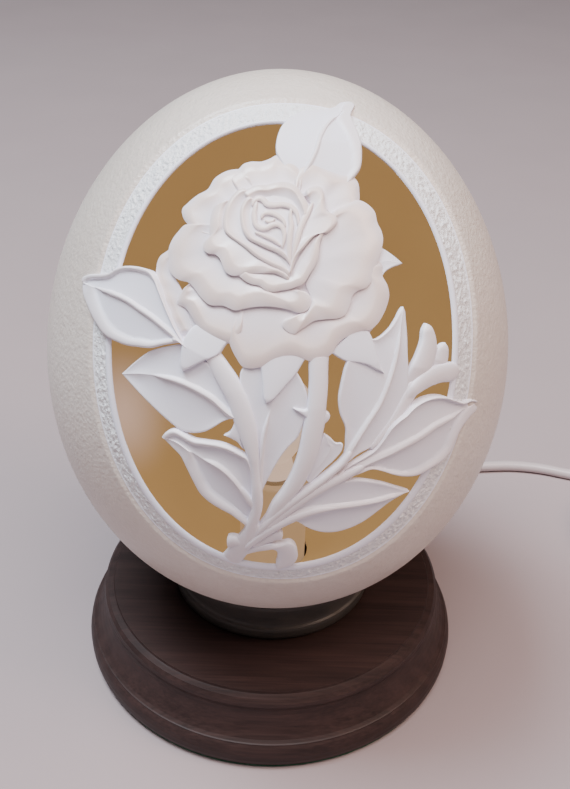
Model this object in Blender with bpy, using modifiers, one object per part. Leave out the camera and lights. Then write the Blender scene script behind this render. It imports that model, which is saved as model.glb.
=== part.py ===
"""Carved ostrich egg lamp: a blown eggshell with a fretwork rose in its front, on a turned stand.

Units are metres, +Z is up and the front faces -Y. The origin is the middle of the underside.
"""
import math

import bmesh
import bpy
import numpy as np
from mathutils import Matrix, Vector

MM = 0.001
GAP = 0.3 * MM  # between pieces that touch
SEGMENTS = 44  # around the egg, the ring and the felt
BASE_SEGMENTS = 42  # turns the middle of a facet to the back, where the lead channel is drilled
SMALL_SEGMENTS = 20  # around the socket and the bulb
HALVINGS = 40  # when a point on the egg is searched for

# Eggshell: a slightly tapered ellipsoid, blunt end down
EGG_HALF_WIDTH = 63.3 * MM
EGG_HALF_LENGTH = 76.7 * MM
EGG_TAPER = -0.035  # how much thinner the egg is above its middle, and fuller below
EGG_CENTRE = Vector((0, 0, 107.1 * MM))
SHELL = 2.2 * MM
SOCKET_HOLE_RADIUS = 11.4 * MM
EGG_EVEN_RADIUS = 17 * MM  # the evenly spaced rings end here, and one more rims the socket hole
EGG_STEPS = 20  # evenly spaced rings, counted from the top

# The carving was set out from one point before the egg, on a plane through its middle
SETTING_OUT_TILT = math.radians(33.9)
SETTING_OUT_EYE = Vector((2.4, -262.7, 268.6)) * MM
GAP_CUT_DEPTH = 13 * MM  # each side of the shell

# Stand
BASE_RADIUS = 58.7 * MM
BASE_TOP = 23.7 * MM
BASE_FLAT_RADIUS = 51.2 * MM
FELT = 1.0 * MM
BORE_RADIUS = 5.3 * MM
COUNTERBORE_RADIUS = 16 * MM
COUNTERBORE_TOP = 12 * MM
LEAD_HEIGHT = 6.5 * MM
LEAD_CHANNEL_RADIUS = 3.4 * MM
LEAD_CHANNEL_SEGMENTS = 12
RING_RADIUS = 31.0 * MM
RING_TOP = 37.2 * MM
RING_BORE_RADIUS = 24.5 * MM

# Socket and bulb
SOCKET_RADIUS = 10.2 * MM
SOCKET_TOP = 64.5 * MM
SOCKET_WELL_RADIUS = 6.9 * MM
SOCKET_WELL_FLOOR = 41 * MM
NIPPLE_RADIUS = 4.9 * MM
NIPPLE_END = 5.0 * MM
NUT_RADIUS = 9 * MM
NUT_HEIGHT = 3.5 * MM
NUT_CLEARANCE = 0.6 * MM  # between the threads' crests and the nut's bore
BULB_CAP_RADIUS = 6.0 * MM
BULB_RADIUS = 11 * MM
BULB_TOP = 97 * MM

# Cord and plug
CORD_RADIUS = 2.0 * MM
CORD_SIDES_RESOLUTION = 2
CORD_POINT_STEP = 10 * MM
COIL_CENTRE = Vector((147, 47, 0)) * MM
COIL_MEAN_RADIUS = 22 * MM
COIL_COLUMNS = 4
COIL_ROWS = 3
COIL_LIFT = 0.8 * MM  # the tie passes under the coil
COIL_SEGMENTS = 32
TIE_THICKNESS = 0.5 * MM
TIE_WIDTH = 5 * MM
TIE_SIDE_CLEARANCE = 0.6 * MM  # the bundle bends, the tie is straight
TIE_ANGLE = math.radians(-100)
BUSHING_LENGTH = 22 * MM
BUSHING_SEGMENTS = 16
PLUG_LENGTH = 27 * MM
PLUG_WIDTH = 25 * MM
PLUG_HEIGHT = 13 * MM
BLADE_LENGTH = 17.5 * MM
BLADE_HEIGHT = 6.4 * MM
BLADE_THICKNESS = 1.5 * MM
BLADE_SPACING = 12.7 * MM
PLUG_PLACE = Vector((175, 9, 0)) * MM  # middle of the plug's cord end, on the table

# The lead's route: out of the base at the back, down to the table, round behind the egg to the right
LEAD_ROUTE = [
    (0, 36, 6.5), (0, 48, 6.5), (0, 60, 6.5), (0, 72, 6.5), (0, 83, 6.3), (3, 94, 4.2), (11, 102.5, 2.3),
    (23, 104.5, 2), (36, 99, 2), (48, 91.5, 2), (60, 86.5, 2), (71, 86, 2), (82, 87.2, 2), (93, 88.3, 2),
    (104, 87.4, 2), (116.5, 84, 2), (127, 81.1, 2.3), (138, 78.2, 2.8),
]
# The last stretch, nearly level: out of the coil's middle row and into the plug
TAIL_ROUTE = [(175, 30.4, 6.2), (175, 25, 6.1), (175, 18, 6.3), (175, 12.5, 6.5), (175, 9.4, 6.5)]

# Gaps of the fretwork, in millimetres on the setting-out plane: to the right, and up along the plane
GAPS = {
    "gap_upper_left": [
        (-43.5, 22), (-41.5, 29), (-38.5, 35.5), (-33, 45), (-28.5, 51), (-23, 56), (-17.5, 58.9), (-11, 61.2),
        (-5, 62.6), (-0.3, 62.9), (-1.5, 60), (-2.5, 56.5), (-4, 54.6), (-9.5, 53.5), (-13.2, 51.3),
        (-16.5, 50.7), (-20, 48.4), (-22, 45.2), (-27.5, 41.2), (-29.1, 39.2), (-28.8, 37), (-27.2, 34.6),
        (-31.3, 30), (-32.3, 27.7), (-35, 25.3), (-36, 21.1), (-38.5, 21.6),
    ],
    "gap_left_corner": [(-31, 20.3), (-29.8, 19.6), (-26.7, 17.6), (-28.2, 15.6)],
    "gap_left": [
        (-47, 2.6), (-45, 1), (-43, -0.2), (-40, -0.7), (-36.5, -0.9), (-40.5, -4.6), (-44.5, -8.4), (-41, -12.3),
        (-37, -16.2), (-33, -19.8), (-29.3, -23.2), (-32.2, -25.8), (-29.5, -28.6), (-26.8, -31.2),
        (-24.8, -34.8), (-22.8, -38.5), (-21, -41.5), (-18.5, -43.8), (-12, -47.4), (-9, -50), (-9.3, -51.3),
        (-12.5, -51.6), (-12.9, -53.3), (-15, -55.1), (-17, -54.6), (-25, -48.8), (-30, -44.5),
        (-34.5, -39.5), (-40, -30), (-43.2, -20), (-45.2, -11), (-46.2, -2),
    ],
    "gap_under_left_leaf": [
        (-25, -25.3), (-19.5, -24), (-14, -20.7), (-12.5, -21), (-14.5, -25), (-11.5, -26.4), (-7.6, -29.6),
        (-10, -29.5), (-16, -27.3), (-20, -26.8),
    ],
    "gap_under_bloom_left": [(-15, 1.3), (-13.9, 1.2), (-9.7, -5.5), (-11, -7.6), (-14.5, -4.4), (-16.5, -1.7)],
    "gap_under_bloom": [(7.8, -3.4), (8.6, -4.5), (9.3, -8.8), (8.9, -12.5), (8.2, -12.4), (5.7, -7)],
    "gap_right_of_stem": [
        (15.2, -3.2), (20.2, -3), (18.5, -10), (18, -13.5), (18.6, -18), (20.4, -22.5), (20.3, -24.6),
        (17.8, -26.6), (14.9, -23.4), (15.1, -20), (14.2, -17.5), (14.8, -6),
    ],
    "gap_right": [
        (20.3, 59), (25, 55.4), (30, 51.1), (34.7, 45.3), (40.2, 35.3), (42.6, 30), (45, 24.4), (46.6, 19),
        (48.1, 9.5), (48.5, 4), (45.4, 2.7), (44.6, 6.5), (42.2, 8.6), (41.4, 5.5), (40.8, 2), (38.3, -3.8),
        (37.4, 0), (36.4, 10), (35.4, 13), (33.5, 9.5), (30.3, 5.3), (28.2, 3.9), (26.1, 6.3), (29.7, 10.4),
        (31.4, 16.5), (29.4, 21.8), (34.9, 25.7), (28.8, 30.1), (28.5, 34.3), (26.2, 40), (22, 43),
        (21.6, 48.2), (20.6, 49.8), (21.6, 54.5),
    ],
    "gap_under_bud": [(36.9, -15.4), (41, -10.9), (44.5, -8.7), (48.3, -7.9), (47.6, -11.3), (44, -11.7), (41, -12.9)],
    "gap_between_right_leaves": [(19.6, -33), (24.5, -30.5), (28.4, -27.5), (28, -26.2), (22.2, -28.4)],
    "gap_lower_right": [
        (23.3, -36.4), (28.5, -33), (31, -33.6), (37, -34.7), (40.5, -34), (38, -38.3), (34, -38), (28, -36.7),
    ],
    "gap_bottom_right": [
        (36.8, -40), (30, -45.2), (26, -48.3), (22, -50.4), (18, -51.6), (14, -51.7), (10.5, -50.8), (6.4, -48.5),
        (3.5, -49.8), (4, -52.3), (6.5, -53.2), (7.9, -56), (5.5, -59.3), (12, -57.6), (20, -54.8),
        (25, -51.7), (30, -47.8), (33, -44.6),
    ],
    "gap_between_stems": [(7.4, -24.7), (6.4, -30.5), (4.5, -36), (2.2, -39.8), (-0.4, -42.3), (-0.6, -35.3), (4, -28)],
    "gap_bottom": [(-7, -58), (-0.5, -56.5), (1, -56.7), (1.2, -59.7), (-4, -59.3)],
}

COLOURS = {
    "eggshell": ((0.83, 0.80, 0.76), 0.45, 0.0),
    "bronze": ((0.05, 0.045, 0.04), 0.4, 0.9),
    "mahogany": ((0.06, 0.028, 0.024), 0.3, 0.0),
    "felt": ((0.02, 0.09, 0.05), 0.95, 0.0),
    "socket": ((0.34, 0.24, 0.17), 0.6, 0.0),
    "nut": ((0.7, 0.6, 0.35), 0.35, 1.0),
    "cap": ((0.75, 0.73, 0.7), 0.3, 1.0),
    "glass": ((0.9, 0.88, 0.85), 0.35, 0.0),
    "cord": ((0.78, 0.75, 0.74), 0.5, 0.0),
    "tie": ((0.1, 0.1, 0.1), 0.6, 0.0),
    "blade": ((0.75, 0.65, 0.4), 0.3, 1.0),
}


def make_material(name):
    colour, roughness, metallic = COLOURS[name]
    material = bpy.data.materials.new(name)
    material.use_nodes = True
    shader = material.node_tree.nodes["Principled BSDF"]
    shader.inputs["Base Color"].default_value = (*colour, 1)
    shader.inputs["Roughness"].default_value = roughness
    shader.inputs["Metallic"].default_value = metallic
    return material


def add_object(name, data, collection, material=None):
    thing = bpy.data.objects.new(name, data)
    collection.objects.link(thing)
    if material:
        data.materials.append(material)
    return thing


def mesh_from(build):
    """A mesh whose shape the function build puts into an empty bmesh."""
    shape = bmesh.new()
    build(shape)
    mesh = bpy.data.meshes.new("shape")
    shape.to_mesh(mesh)
    shape.free()
    return mesh


def rod_mesh(radius, length, segments):
    """An upright rod about the origin."""
    return mesh_from(lambda shape: bmesh.ops.create_cone(
        shape, cap_ends=True, segments=segments, radius1=radius, radius2=radius, depth=length,
    ))


def block_mesh(size):
    """A box about the origin."""
    return mesh_from(lambda shape: bmesh.ops.create_cube(shape, size=1, matrix=Matrix.Diagonal((*size, 1))))


def turned(name, profile, collection, material=None, segments=SEGMENTS, closed=True):
    """A profile of (radius, height) points down its outer side, turned round the vertical axis."""
    count = len(profile)

    def draw(shape):
        points = [shape.verts.new((radius, 0, height)) for radius, height in profile]
        for i in range(count if closed else count - 1):
            shape.edges.new((points[i], points[(i + 1) % count]))

    thing = add_object(name, mesh_from(draw), collection, material)
    screw = thing.modifiers.new("turn", "SCREW")
    screw.steps = screw.render_steps = segments
    screw.use_merge_vertices = True
    screw.merge_threshold = 1e-5
    screw.use_smooth_shade = True
    return thing


def as_mesh(thing):
    """The object's finished shape as a new mesh with its loose caps welded on."""
    bpy.context.view_layer.update()
    evaluated = thing.evaluated_get(bpy.context.evaluated_depsgraph_get())
    mesh = bpy.data.meshes.new_from_object(evaluated)
    shape = bmesh.new()
    shape.from_mesh(mesh)
    bmesh.ops.remove_doubles(shape, verts=shape.verts, dist=1e-6)
    bmesh.ops.recalc_face_normals(shape, faces=shape.faces)
    shape.to_mesh(mesh)
    shape.free()
    return mesh


def cut(thing, cutter):
    cutter.hide_render = True
    cutter.display_type = "WIRE"
    boolean = thing.modifiers.new(cutter.name, "BOOLEAN")
    boolean.operation = "DIFFERENCE"
    boolean.solver = "EXACT"
    boolean.object = cutter


def egg_profile(angle, outward=0.0):
    """(radius, height) on the egg at an angle from its top, moved outward along the normal."""
    rise, reach = math.cos(angle), math.sin(angle)
    radius = EGG_HALF_WIDTH * reach * (1 + EGG_TAPER * rise)
    height = EGG_CENTRE.z + EGG_HALF_LENGTH * rise
    slope_r = EGG_HALF_WIDTH * (rise + EGG_TAPER * (rise * rise - reach * reach))
    slope_z = -EGG_HALF_LENGTH * reach
    length = math.hypot(slope_r, slope_z)
    return radius - slope_z / length * outward, height + slope_r / length * outward


def egg_angle_at(radius, outward=0.0):
    """The angle from the top at which the lower half of the egg has this radius."""
    low, high = math.pi / 2, math.pi
    for _ in range(HALVINGS):
        middle = (low + high) / 2
        if egg_profile(middle, outward)[0] > radius:
            low = middle
        else:
            high = middle
    return low


def shell_point(across, up):
    """The point of the egg's outside that lies on the line from the setting-out point through the plane."""
    right = Vector((1, 0, 0))
    upward = Vector((0, math.sin(SETTING_OUT_TILT), math.cos(SETTING_OUT_TILT)))
    target = EGG_CENTRE + (right * across + upward * up) * MM
    near, far = 0.5, 1.0
    for _ in range(HALVINGS):
        middle = (near + far) / 2
        point = SETTING_OUT_EYE.lerp(target, middle) - EGG_CENTRE
        level = point.z / EGG_HALF_LENGTH
        width = EGG_HALF_WIDTH * (1 + EGG_TAPER * level)
        outside = (point.x**2 + point.y**2) / width**2 + level**2 > 1
        near, far = (middle, far) if outside else (near, middle)
    return SETTING_OUT_EYE.lerp(target, near)


def gap_cutter(name, outline, collection):
    """A prism through the shell, square to it at the outline's middle."""
    corners = [shell_point(across, up) for across, up in outline]
    middle = sum(corners, Vector()) / len(corners)
    outward = (middle - EGG_CENTRE).normalized()
    aside = Vector((0, 0, 1)).cross(outward).normalized()
    frame = Matrix((aside, outward.cross(aside), outward)).transposed()
    curve = bpy.data.curves.new(name, "CURVE")
    curve.dimensions = "2D"
    curve.fill_mode = "BOTH"
    curve.extrude = GAP_CUT_DEPTH
    spline = curve.splines.new("POLY")
    spline.points.add(len(corners) - 1)
    spline.use_cyclic_u = True
    for point, corner in zip(spline.points, corners):
        flat = frame.transposed() @ (corner - middle)
        point.co = (flat.x, flat.y, 0, 1)
    guide = add_object(name + "_outline", curve, collection)
    guide.matrix_world = Matrix.Translation(middle) @ frame.to_4x4()
    cutter = add_object(name, as_mesh(guide), collection)
    cutter.matrix_world = guide.matrix_world
    bpy.data.objects.remove(guide)
    return cutter


def make_eggshell(parts, cutters, material):
    even = np.linspace(0, egg_angle_at(EGG_EVEN_RADIUS), EGG_STEPS + 1)
    angles = np.append(even, egg_angle_at(SOCKET_HOLE_RADIUS))
    outside = [egg_profile(angle) for angle in angles]
    inside = [egg_profile(angle, -SHELL) for angle in angles[::-1]]
    outside[0] = (0, outside[0][1])
    inside[-1] = (0, inside[-1][1])
    egg = turned("eggshell", outside + inside, parts, material, closed=False)
    for name, outline in GAPS.items():
        cut(egg, gap_cutter(name, outline, cutters))
    return egg


def make_ring(parts, material):
    seat = [egg_profile(egg_angle_at(radius, GAP), GAP) for radius in (27.4 * MM, 26 * MM, RING_BORE_RADIUS)]
    foot = BASE_TOP + GAP
    profile = [
        (RING_RADIUS - 0.6 * MM, RING_TOP), (RING_RADIUS - 0.3 * MM, RING_TOP - 1.2 * MM),
        (RING_RADIUS - 1.2 * MM, foot + 7 * MM), (RING_RADIUS - 1.0 * MM, foot + 5 * MM),
        (RING_RADIUS, foot + 4 * MM), (RING_RADIUS, foot + 1.2 * MM),
        (RING_RADIUS - 1.0 * MM, foot), (RING_BORE_RADIUS, foot), *seat[::-1],
    ]
    return turned("support_ring", profile, parts, material)


def make_base(parts, cutters, material):
    """The profile: a flat top, a round shoulder, a long cove and a foot bead."""
    underside = FELT + GAP
    flat = BASE_FLAT_RADIUS
    shoulder_radius, cove_foot = 2.2 * MM, 10.2 * MM
    profile = [(BORE_RADIUS, BASE_TOP), (flat - 0.8 * MM, BASE_TOP)]
    for step in range(4):
        angle = math.radians(72.5 - 27.5 * step)
        profile.append((
            flat - 0.2 * MM + shoulder_radius * math.cos(angle),
            BASE_TOP - 0.4 * MM - shoulder_radius + shoulder_radius * math.sin(angle),
        ))
    profile += [
        (52.9 * MM, 18 * MM), (54 * MM, 14.6 * MM), (56.3 * MM, 11.6 * MM), (57.6 * MM, cove_foot),
        (BASE_RADIUS - 0.3 * MM, 8.4 * MM), (BASE_RADIUS, 5 * MM), (BASE_RADIUS - 0.2 * MM, 2.6 * MM),
        (BASE_RADIUS - 1 * MM, underside), (COUNTERBORE_RADIUS, underside),
        (COUNTERBORE_RADIUS, COUNTERBORE_TOP), (BORE_RADIUS, COUNTERBORE_TOP),
    ]
    base = turned("wooden_base", profile, parts, material, BASE_SEGMENTS)
    drill = add_object("lead_channel", rod_mesh(LEAD_CHANNEL_RADIUS, BASE_RADIUS, LEAD_CHANNEL_SEGMENTS), cutters)
    drill.rotation_euler = (math.radians(90), math.pi / LEAD_CHANNEL_SEGMENTS, 0)  # lies flat side up
    drill.location = (0, (COUNTERBORE_RADIUS + BASE_RADIUS) / 2, LEAD_HEIGHT)
    cut(base, drill)
    return base


def make_felt(parts, material):
    edge = BASE_RADIUS - 1 * MM
    profile = [(0, FELT), (edge, FELT), (edge, 0), (0, 0)]
    return turned("felt_pad", profile, parts, material, closed=False)


def make_socket(parts, material):
    foot = BASE_TOP + GAP
    profile = [
        (SOCKET_RADIUS, SOCKET_TOP), (SOCKET_RADIUS, foot + 3 * MM), (SOCKET_RADIUS + 1.5 * MM, foot + 1.6 * MM),
        (SOCKET_RADIUS + 1.5 * MM, foot), (NIPPLE_RADIUS, foot), (NIPPLE_RADIUS, NIPPLE_END), (0, NIPPLE_END),
        (0, SOCKET_WELL_FLOOR), (SOCKET_WELL_RADIUS, SOCKET_WELL_FLOOR), (SOCKET_WELL_RADIUS, SOCKET_TOP),
    ]
    loop = profile[7:] + profile[:7]
    turned("lamp_socket", loop, parts, material, SMALL_SEGMENTS, closed=False)


def make_nut(parts, cutters, material):
    """The hexagon nut that holds the socket's threaded foot up under the base."""
    middle = (0, 0, COUNTERBORE_TOP - GAP - NUT_HEIGHT / 2)
    nut = add_object("socket_nut", rod_mesh(NUT_RADIUS, NUT_HEIGHT, 6), parts, material)
    hole = add_object("nut_hole", rod_mesh(NIPPLE_RADIUS + NUT_CLEARANCE, NUT_HEIGHT * 2, SMALL_SEGMENTS), cutters)
    nut.location = hole.location = middle
    cut(nut, hole)


def make_bulb(parts, cap_material, glass_material):
    seat = SOCKET_TOP + GAP
    cap = [
        (0, seat - GAP), (BULB_CAP_RADIUS, seat - GAP), (BULB_CAP_RADIUS, seat - 12 * MM),
        (3.2 * MM, seat - 16 * MM), (2 * MM, SOCKET_WELL_FLOOR + GAP), (0, SOCKET_WELL_FLOOR + GAP),
    ]
    turned("bulb_cap", cap, parts, cap_material, SMALL_SEGMENTS, closed=False)
    length = BULB_TOP - seat
    steps = 11
    glass = [(0, BULB_TOP)]
    for step in range(1, steps):
        down = step / steps
        swell = math.sin(math.pi * down**0.62) ** 0.75
        glass.append((max(BULB_RADIUS * swell, 6.2 * MM * down), BULB_TOP - length * down))
    glass += [(6.3 * MM, seat), (0, seat)]
    turned("bulb_glass", glass, parts, glass_material, SMALL_SEGMENTS, closed=False)


def smooth_path(route, step):
    """Points a given step apart on a smooth curve through the route's own points."""
    points = [Vector(point) * MM for point in route]
    points = [2 * points[0] - points[1], *points, 2 * points[-1] - points[-2]]
    fine = []
    for a, b, c, d in zip(points, points[1:], points[2:], points[3:]):
        for t in np.arange(0, 1, 1 / 12):
            fine.append(
                0.5 * (2 * b + (c - a) * t + (2 * a - 5 * b + 4 * c - d) * t**2 + (3 * b - a - 3 * c + d) * t**3)
            )
    fine.append(points[-2])
    lengths = np.cumsum([0] + [(q - p).length for p, q in zip(fine, fine[1:])])
    wanted = np.linspace(0, lengths[-1], max(2, round(lengths[-1] / step)) + 1)
    axes = [np.interp(wanted, lengths, [point[i] for point in fine]) for i in range(3)]
    return [Vector(point) for point in zip(*axes)]


def cord_tube(name, route, collection, material):
    """A round cord along a route."""
    curve = bpy.data.curves.new(name, "CURVE")
    curve.dimensions = "3D"
    curve.bevel_depth = CORD_RADIUS
    curve.bevel_resolution = CORD_SIDES_RESOLUTION
    curve.use_fill_caps = True
    path = smooth_path(route, CORD_POINT_STEP)
    spline = curve.splines.new("POLY")
    spline.points.add(len(path) - 1)
    for point, place in zip(spline.points, path):
        point.co = (*place, 1)
    return add_object(name, curve, collection, material)


def make_cord(parts, cutters, materials):
    """The lead, the last stretch before the plug, and the stored turns between them as one bundle."""
    cord_tube("cord_lead", LEAD_ROUTE, parts, materials["cord"])
    cord_tube("cord_tail", TAIL_ROUTE, parts, materials["cord"])
    half = COIL_COLUMNS * CORD_RADIUS
    top = COIL_LIFT + COIL_ROWS * 2 * CORD_RADIUS
    inner, outer = COIL_MEAN_RADIUS - half, COIL_MEAN_RADIUS + half
    round_off = CORD_RADIUS * 0.6
    profile = [
        (inner + round_off, top), (outer - round_off, top), (outer, top - round_off),
        (outer, COIL_LIFT + round_off), (outer - round_off, COIL_LIFT), (inner + round_off, COIL_LIFT),
        (inner, COIL_LIFT + round_off), (inner, top - round_off),
    ]
    coil = turned("cord_coil", profile, parts, materials["cord"], COIL_SEGMENTS)
    coil.location = COIL_CENTRE
    make_tie(parts, cutters, materials["tie"], inner, outer, top)


def make_tie(parts, cutters, material, inner, outer, top):
    """A flat band closed round the coil's bundle."""
    width = outer - inner + 2 * (TIE_SIDE_CLEARANCE + TIE_THICKNESS)
    height = top - COIL_LIFT + 2 * (GAP + TIE_THICKNESS)
    place = COIL_CENTRE + Matrix.Rotation(TIE_ANGLE, 3, "Z") @ Vector((COIL_MEAN_RADIUS, 0, (top + COIL_LIFT) / 2))

    def block(name, size, collection, of=None):
        thing = add_object(name, block_mesh(size), collection, of)
        thing.location = place
        thing.rotation_euler = (0, 0, TIE_ANGLE)
        return thing

    tie = block("coil_tie", (width, TIE_WIDTH, height), parts, material)
    window = (width - 2 * TIE_THICKNESS, TIE_WIDTH * 2, height - 2 * TIE_THICKNESS)
    cut(tie, block("tie_window", window, cutters))


def make_bushing(parts, material):
    """A flanged, tapered sleeve round the cord, standing out of the back of the base."""
    inner = CORD_RADIUS + GAP
    start = BASE_RADIUS + GAP
    profile = [
        (2.9 * MM, BUSHING_LENGTH), (3.0 * MM, 14 * MM), (3.9 * MM, 1.8 * MM), (5.2 * MM, 1.6 * MM),
        (5.2 * MM, 0), (inner, 0), (inner, BUSHING_LENGTH),
    ]
    bushing = turned("cord_bushing", profile, parts, material, BUSHING_SEGMENTS)
    bushing.rotation_euler = (math.radians(-90), 0, 0)
    bushing.location = (0, start, LEAD_HEIGHT)


def make_plug(parts, material, blade_material):
    """The plug lies on its side on the table, its blades away from the cord."""
    middle = PLUG_PLACE + Vector((0, 0, PLUG_HEIGHT / 2))

    def body(shape):
        size = (PLUG_WIDTH, PLUG_LENGTH * 0.62, PLUG_HEIGHT)
        made = bmesh.ops.create_cube(shape, size=1, matrix=Matrix.Diagonal((*size, 1)))
        bmesh.ops.translate(shape, verts=made["verts"], vec=(0, -PLUG_LENGTH * 0.69, 0))
        steps = ((0.16, 0.86, 0.95), (0.12, 0.62, 0.8), (0.1, 0.62, 0.66))
        for reach, narrow, flatten in steps:
            shape.faces.ensure_lookup_table()
            rear = max(shape.faces, key=lambda face: face.calc_center_median().y)
            grown = bmesh.ops.extrude_face_region(shape, geom=[rear])
            verts = [v for v in grown["geom"] if isinstance(v, bmesh.types.BMVert)]
            bmesh.ops.delete(shape, geom=[rear], context="FACES_ONLY")
            bmesh.ops.translate(shape, verts=verts, vec=(0, PLUG_LENGTH * reach, 0))
            bmesh.ops.scale(shape, verts=verts, vec=(narrow, 1, flatten))

    plug = add_object("plug_body", mesh_from(body), parts, material)
    plug.location = middle
    bevel = plug.modifiers.new("edges", "BEVEL")
    bevel.width = 1.2 * MM
    bevel.segments = 2
    bevel.limit_method = "ANGLE"
    bevel.angle_limit = math.radians(50)
    for name, side in (("plug_blade_left", -1), ("plug_blade_right", 1)):
        size = (BLADE_THICKNESS, BLADE_LENGTH, BLADE_HEIGHT)
        blade = add_object(name, block_mesh(size), parts, blade_material)
        front = -PLUG_LENGTH - GAP - BLADE_LENGTH / 2
        blade.location = middle + Vector((side * BLADE_SPACING / 2, front, 0))
        edges = blade.modifiers.new("edges", "BEVEL")
        edges.width = 0.4 * MM
        edges.segments = 1


def main():
    for thing in list(bpy.data.objects):
        bpy.data.objects.remove(thing, do_unlink=True)
    parts = bpy.data.collections.new("carved_egg_lamp")
    cutters = bpy.data.collections.new("cutters")
    for collection in (parts, cutters):
        bpy.context.scene.collection.children.link(collection)
    materials = {name: make_material(name) for name in COLOURS}
    make_eggshell(parts, cutters, materials["eggshell"])
    make_ring(parts, materials["bronze"])
    make_base(parts, cutters, materials["mahogany"])
    make_felt(parts, materials["felt"])
    make_socket(parts, materials["socket"])
    make_nut(parts, cutters, materials["nut"])
    make_bulb(parts, materials["cap"], materials["glass"])
    make_bushing(parts, materials["cord"])
    make_cord(parts, cutters, materials)
    make_plug(parts, materials["cord"], materials["blade"])


main()
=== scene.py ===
"""Carved ostrich egg lamp: the looks of the egg, its fretwork rose, its turned stand and its cord.

Lengths in the sub-assemblies' tables are millimetres. They become metres where a surface is worked out.
"""
import sys
import logging
import math
from dataclasses import dataclass
from enum import Enum

import bpy
import numpy as np
from mathutils import Matrix, Vector


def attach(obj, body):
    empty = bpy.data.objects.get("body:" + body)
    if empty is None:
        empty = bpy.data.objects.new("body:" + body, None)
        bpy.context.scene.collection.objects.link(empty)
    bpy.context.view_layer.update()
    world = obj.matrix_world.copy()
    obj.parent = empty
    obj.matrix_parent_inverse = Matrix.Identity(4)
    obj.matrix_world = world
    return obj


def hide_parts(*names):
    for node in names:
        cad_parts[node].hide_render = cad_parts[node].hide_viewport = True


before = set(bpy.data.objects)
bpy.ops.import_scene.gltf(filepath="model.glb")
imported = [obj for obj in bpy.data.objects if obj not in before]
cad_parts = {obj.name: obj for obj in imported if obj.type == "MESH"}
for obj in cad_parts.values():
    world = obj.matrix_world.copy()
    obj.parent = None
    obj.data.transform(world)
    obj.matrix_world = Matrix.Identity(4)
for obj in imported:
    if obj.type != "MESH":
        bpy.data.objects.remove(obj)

Array = np.ndarray
Line = tuple[tuple[float, ...], ...]
Triple = tuple[float, float, float]
Socket = bpy.types.NodeSocket
MM = 0.001
TINY = 1e-6
# The photo's eye point in millimetres, and how far its line of sight dips. The carving is set out from it too.
EYE: Triple = (2.4, -262.7, 268.6)
TILT = math.radians(33.9)
log = logging.getLogger("egg_lamp")


# ---------------------------------------------------------------- numbers along lines

SPLINE_FINENESS = 8


def walked(points: Array) -> Array:
    """How far along a line of points each point lies, in steps from point to point."""
    return np.concatenate([[0], np.cumsum(np.linalg.norm(np.diff(points, axis=0), axis=1))])


def spline(line: Line, count: int) -> Array:
    """Evenly spaced points on a smooth line through three or more given points.

    Between two neighbours the line is the cubic that meets both points with the slope of the parabola
    through each point and its two neighbours, measured along the chords. An end has its chord's slope.

    Args:
        line: the points that the line passes.
        count: how many points to return.

    Returns:
        A count by dimension array.
    """
    points = np.asarray(line, float)
    knots = walked(points)
    slopes = np.gradient(points, knots, axis=0)
    at = np.linspace(0, knots[-1], SPLINE_FINENESS * count)
    i = np.clip(np.searchsorted(knots, at, side="right") - 1, 0, len(knots) - 2)
    span = (knots[i + 1] - knots[i])[:, None]
    t = (at - knots[i])[:, None] / span
    fine = (
        (2 * t**3 - 3 * t**2 + 1) * points[i] + (t**3 - 2 * t**2 + t) * span * slopes[i]
        + (3 * t**2 - 2 * t**3) * points[i + 1] + (t**3 - t**2) * span * slopes[i + 1]
    )
    reached = walked(fine)
    even = np.linspace(0, reached[-1], count)
    return np.stack([np.interp(even, reached, fine[:, k]) for k in range(points.shape[1])], axis=1)


def subdivided(line: Line, count: int) -> Array:
    """A line's own corners together with evenly spaced points on the straight runs between them.

    Args:
        line: the corners.
        count: how many even points to add.

    Returns:
        A points by 2 array.
    """
    corners = np.asarray(line, float)
    reached = walked(corners)
    at = np.union1d(np.linspace(0, reached[-1], count), reached)
    return np.stack([np.interp(at, reached, corners[:, k]) for k in range(2)], axis=1)


def full_turn(steps: int) -> Array:
    """Evenly spaced turns round a circle, in radians."""
    return np.linspace(0, 2 * math.pi, steps, endpoint=False)


def squared_circle(turn: Array, power: float) -> Array:
    """Points between a circle and a square: cosine and sine, their sizes raised to two over the power."""
    sides = np.stack([np.cos(turn), np.sin(turn)], axis=-1)
    return np.sign(sides) * np.abs(sides) ** (2 / power)


def dome(distance: Array, half_width: Array | float) -> Array:
    """A round ridge: the root of one less the squared share of the half width, and nothing outside it."""
    return np.sqrt(np.clip(1 - (distance / np.maximum(half_width, TINY)) ** 2, 0, 1))


def ease(share: Array) -> Array:
    """A smooth step from 0 to 1: three times the square less twice the cube of the clipped share."""
    share = np.clip(share, 0, 1)
    return share * share * (3 - 2 * share)


def grains(shape: tuple[int, int], cells: tuple[int, int], seed: int) -> Array:
    """Smooth random grains on a grid that closes on itself along its first side.

    Seeded numbers at the corners of cells are blended with smooth steps between the corners.

    Args:
        shape: rows and columns of the grid.
        cells: how many grains along the rows and along the columns.
        seed: the seed of the random numbers.

    Returns:
        An array of that shape, from -1 to 1.
    """
    corners = np.random.default_rng(seed).uniform(-1, 1, (cells[0], cells[1] + 2))
    a = np.arange(shape[0])[:, None] / shape[0] * cells[0]
    b = np.arange(shape[1])[None, :] / max(shape[1] - 1, 1) * cells[1]
    i, j = np.floor(a).astype(int), np.floor(b).astype(int)
    p, q = ease(a - i), ease(b - j)
    i2, i = (i + 1) % cells[0], i % cells[0]
    return (
        corners[i, j] * (1 - p) * (1 - q) + corners[i2, j] * p * (1 - q)
        + corners[i, j + 1] * (1 - p) * q + corners[i2, j + 1] * p * q
    )


# ---------------------------------------------------------------- closed surfaces from grids

ROUNDING_SHARE = 0.45


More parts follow.
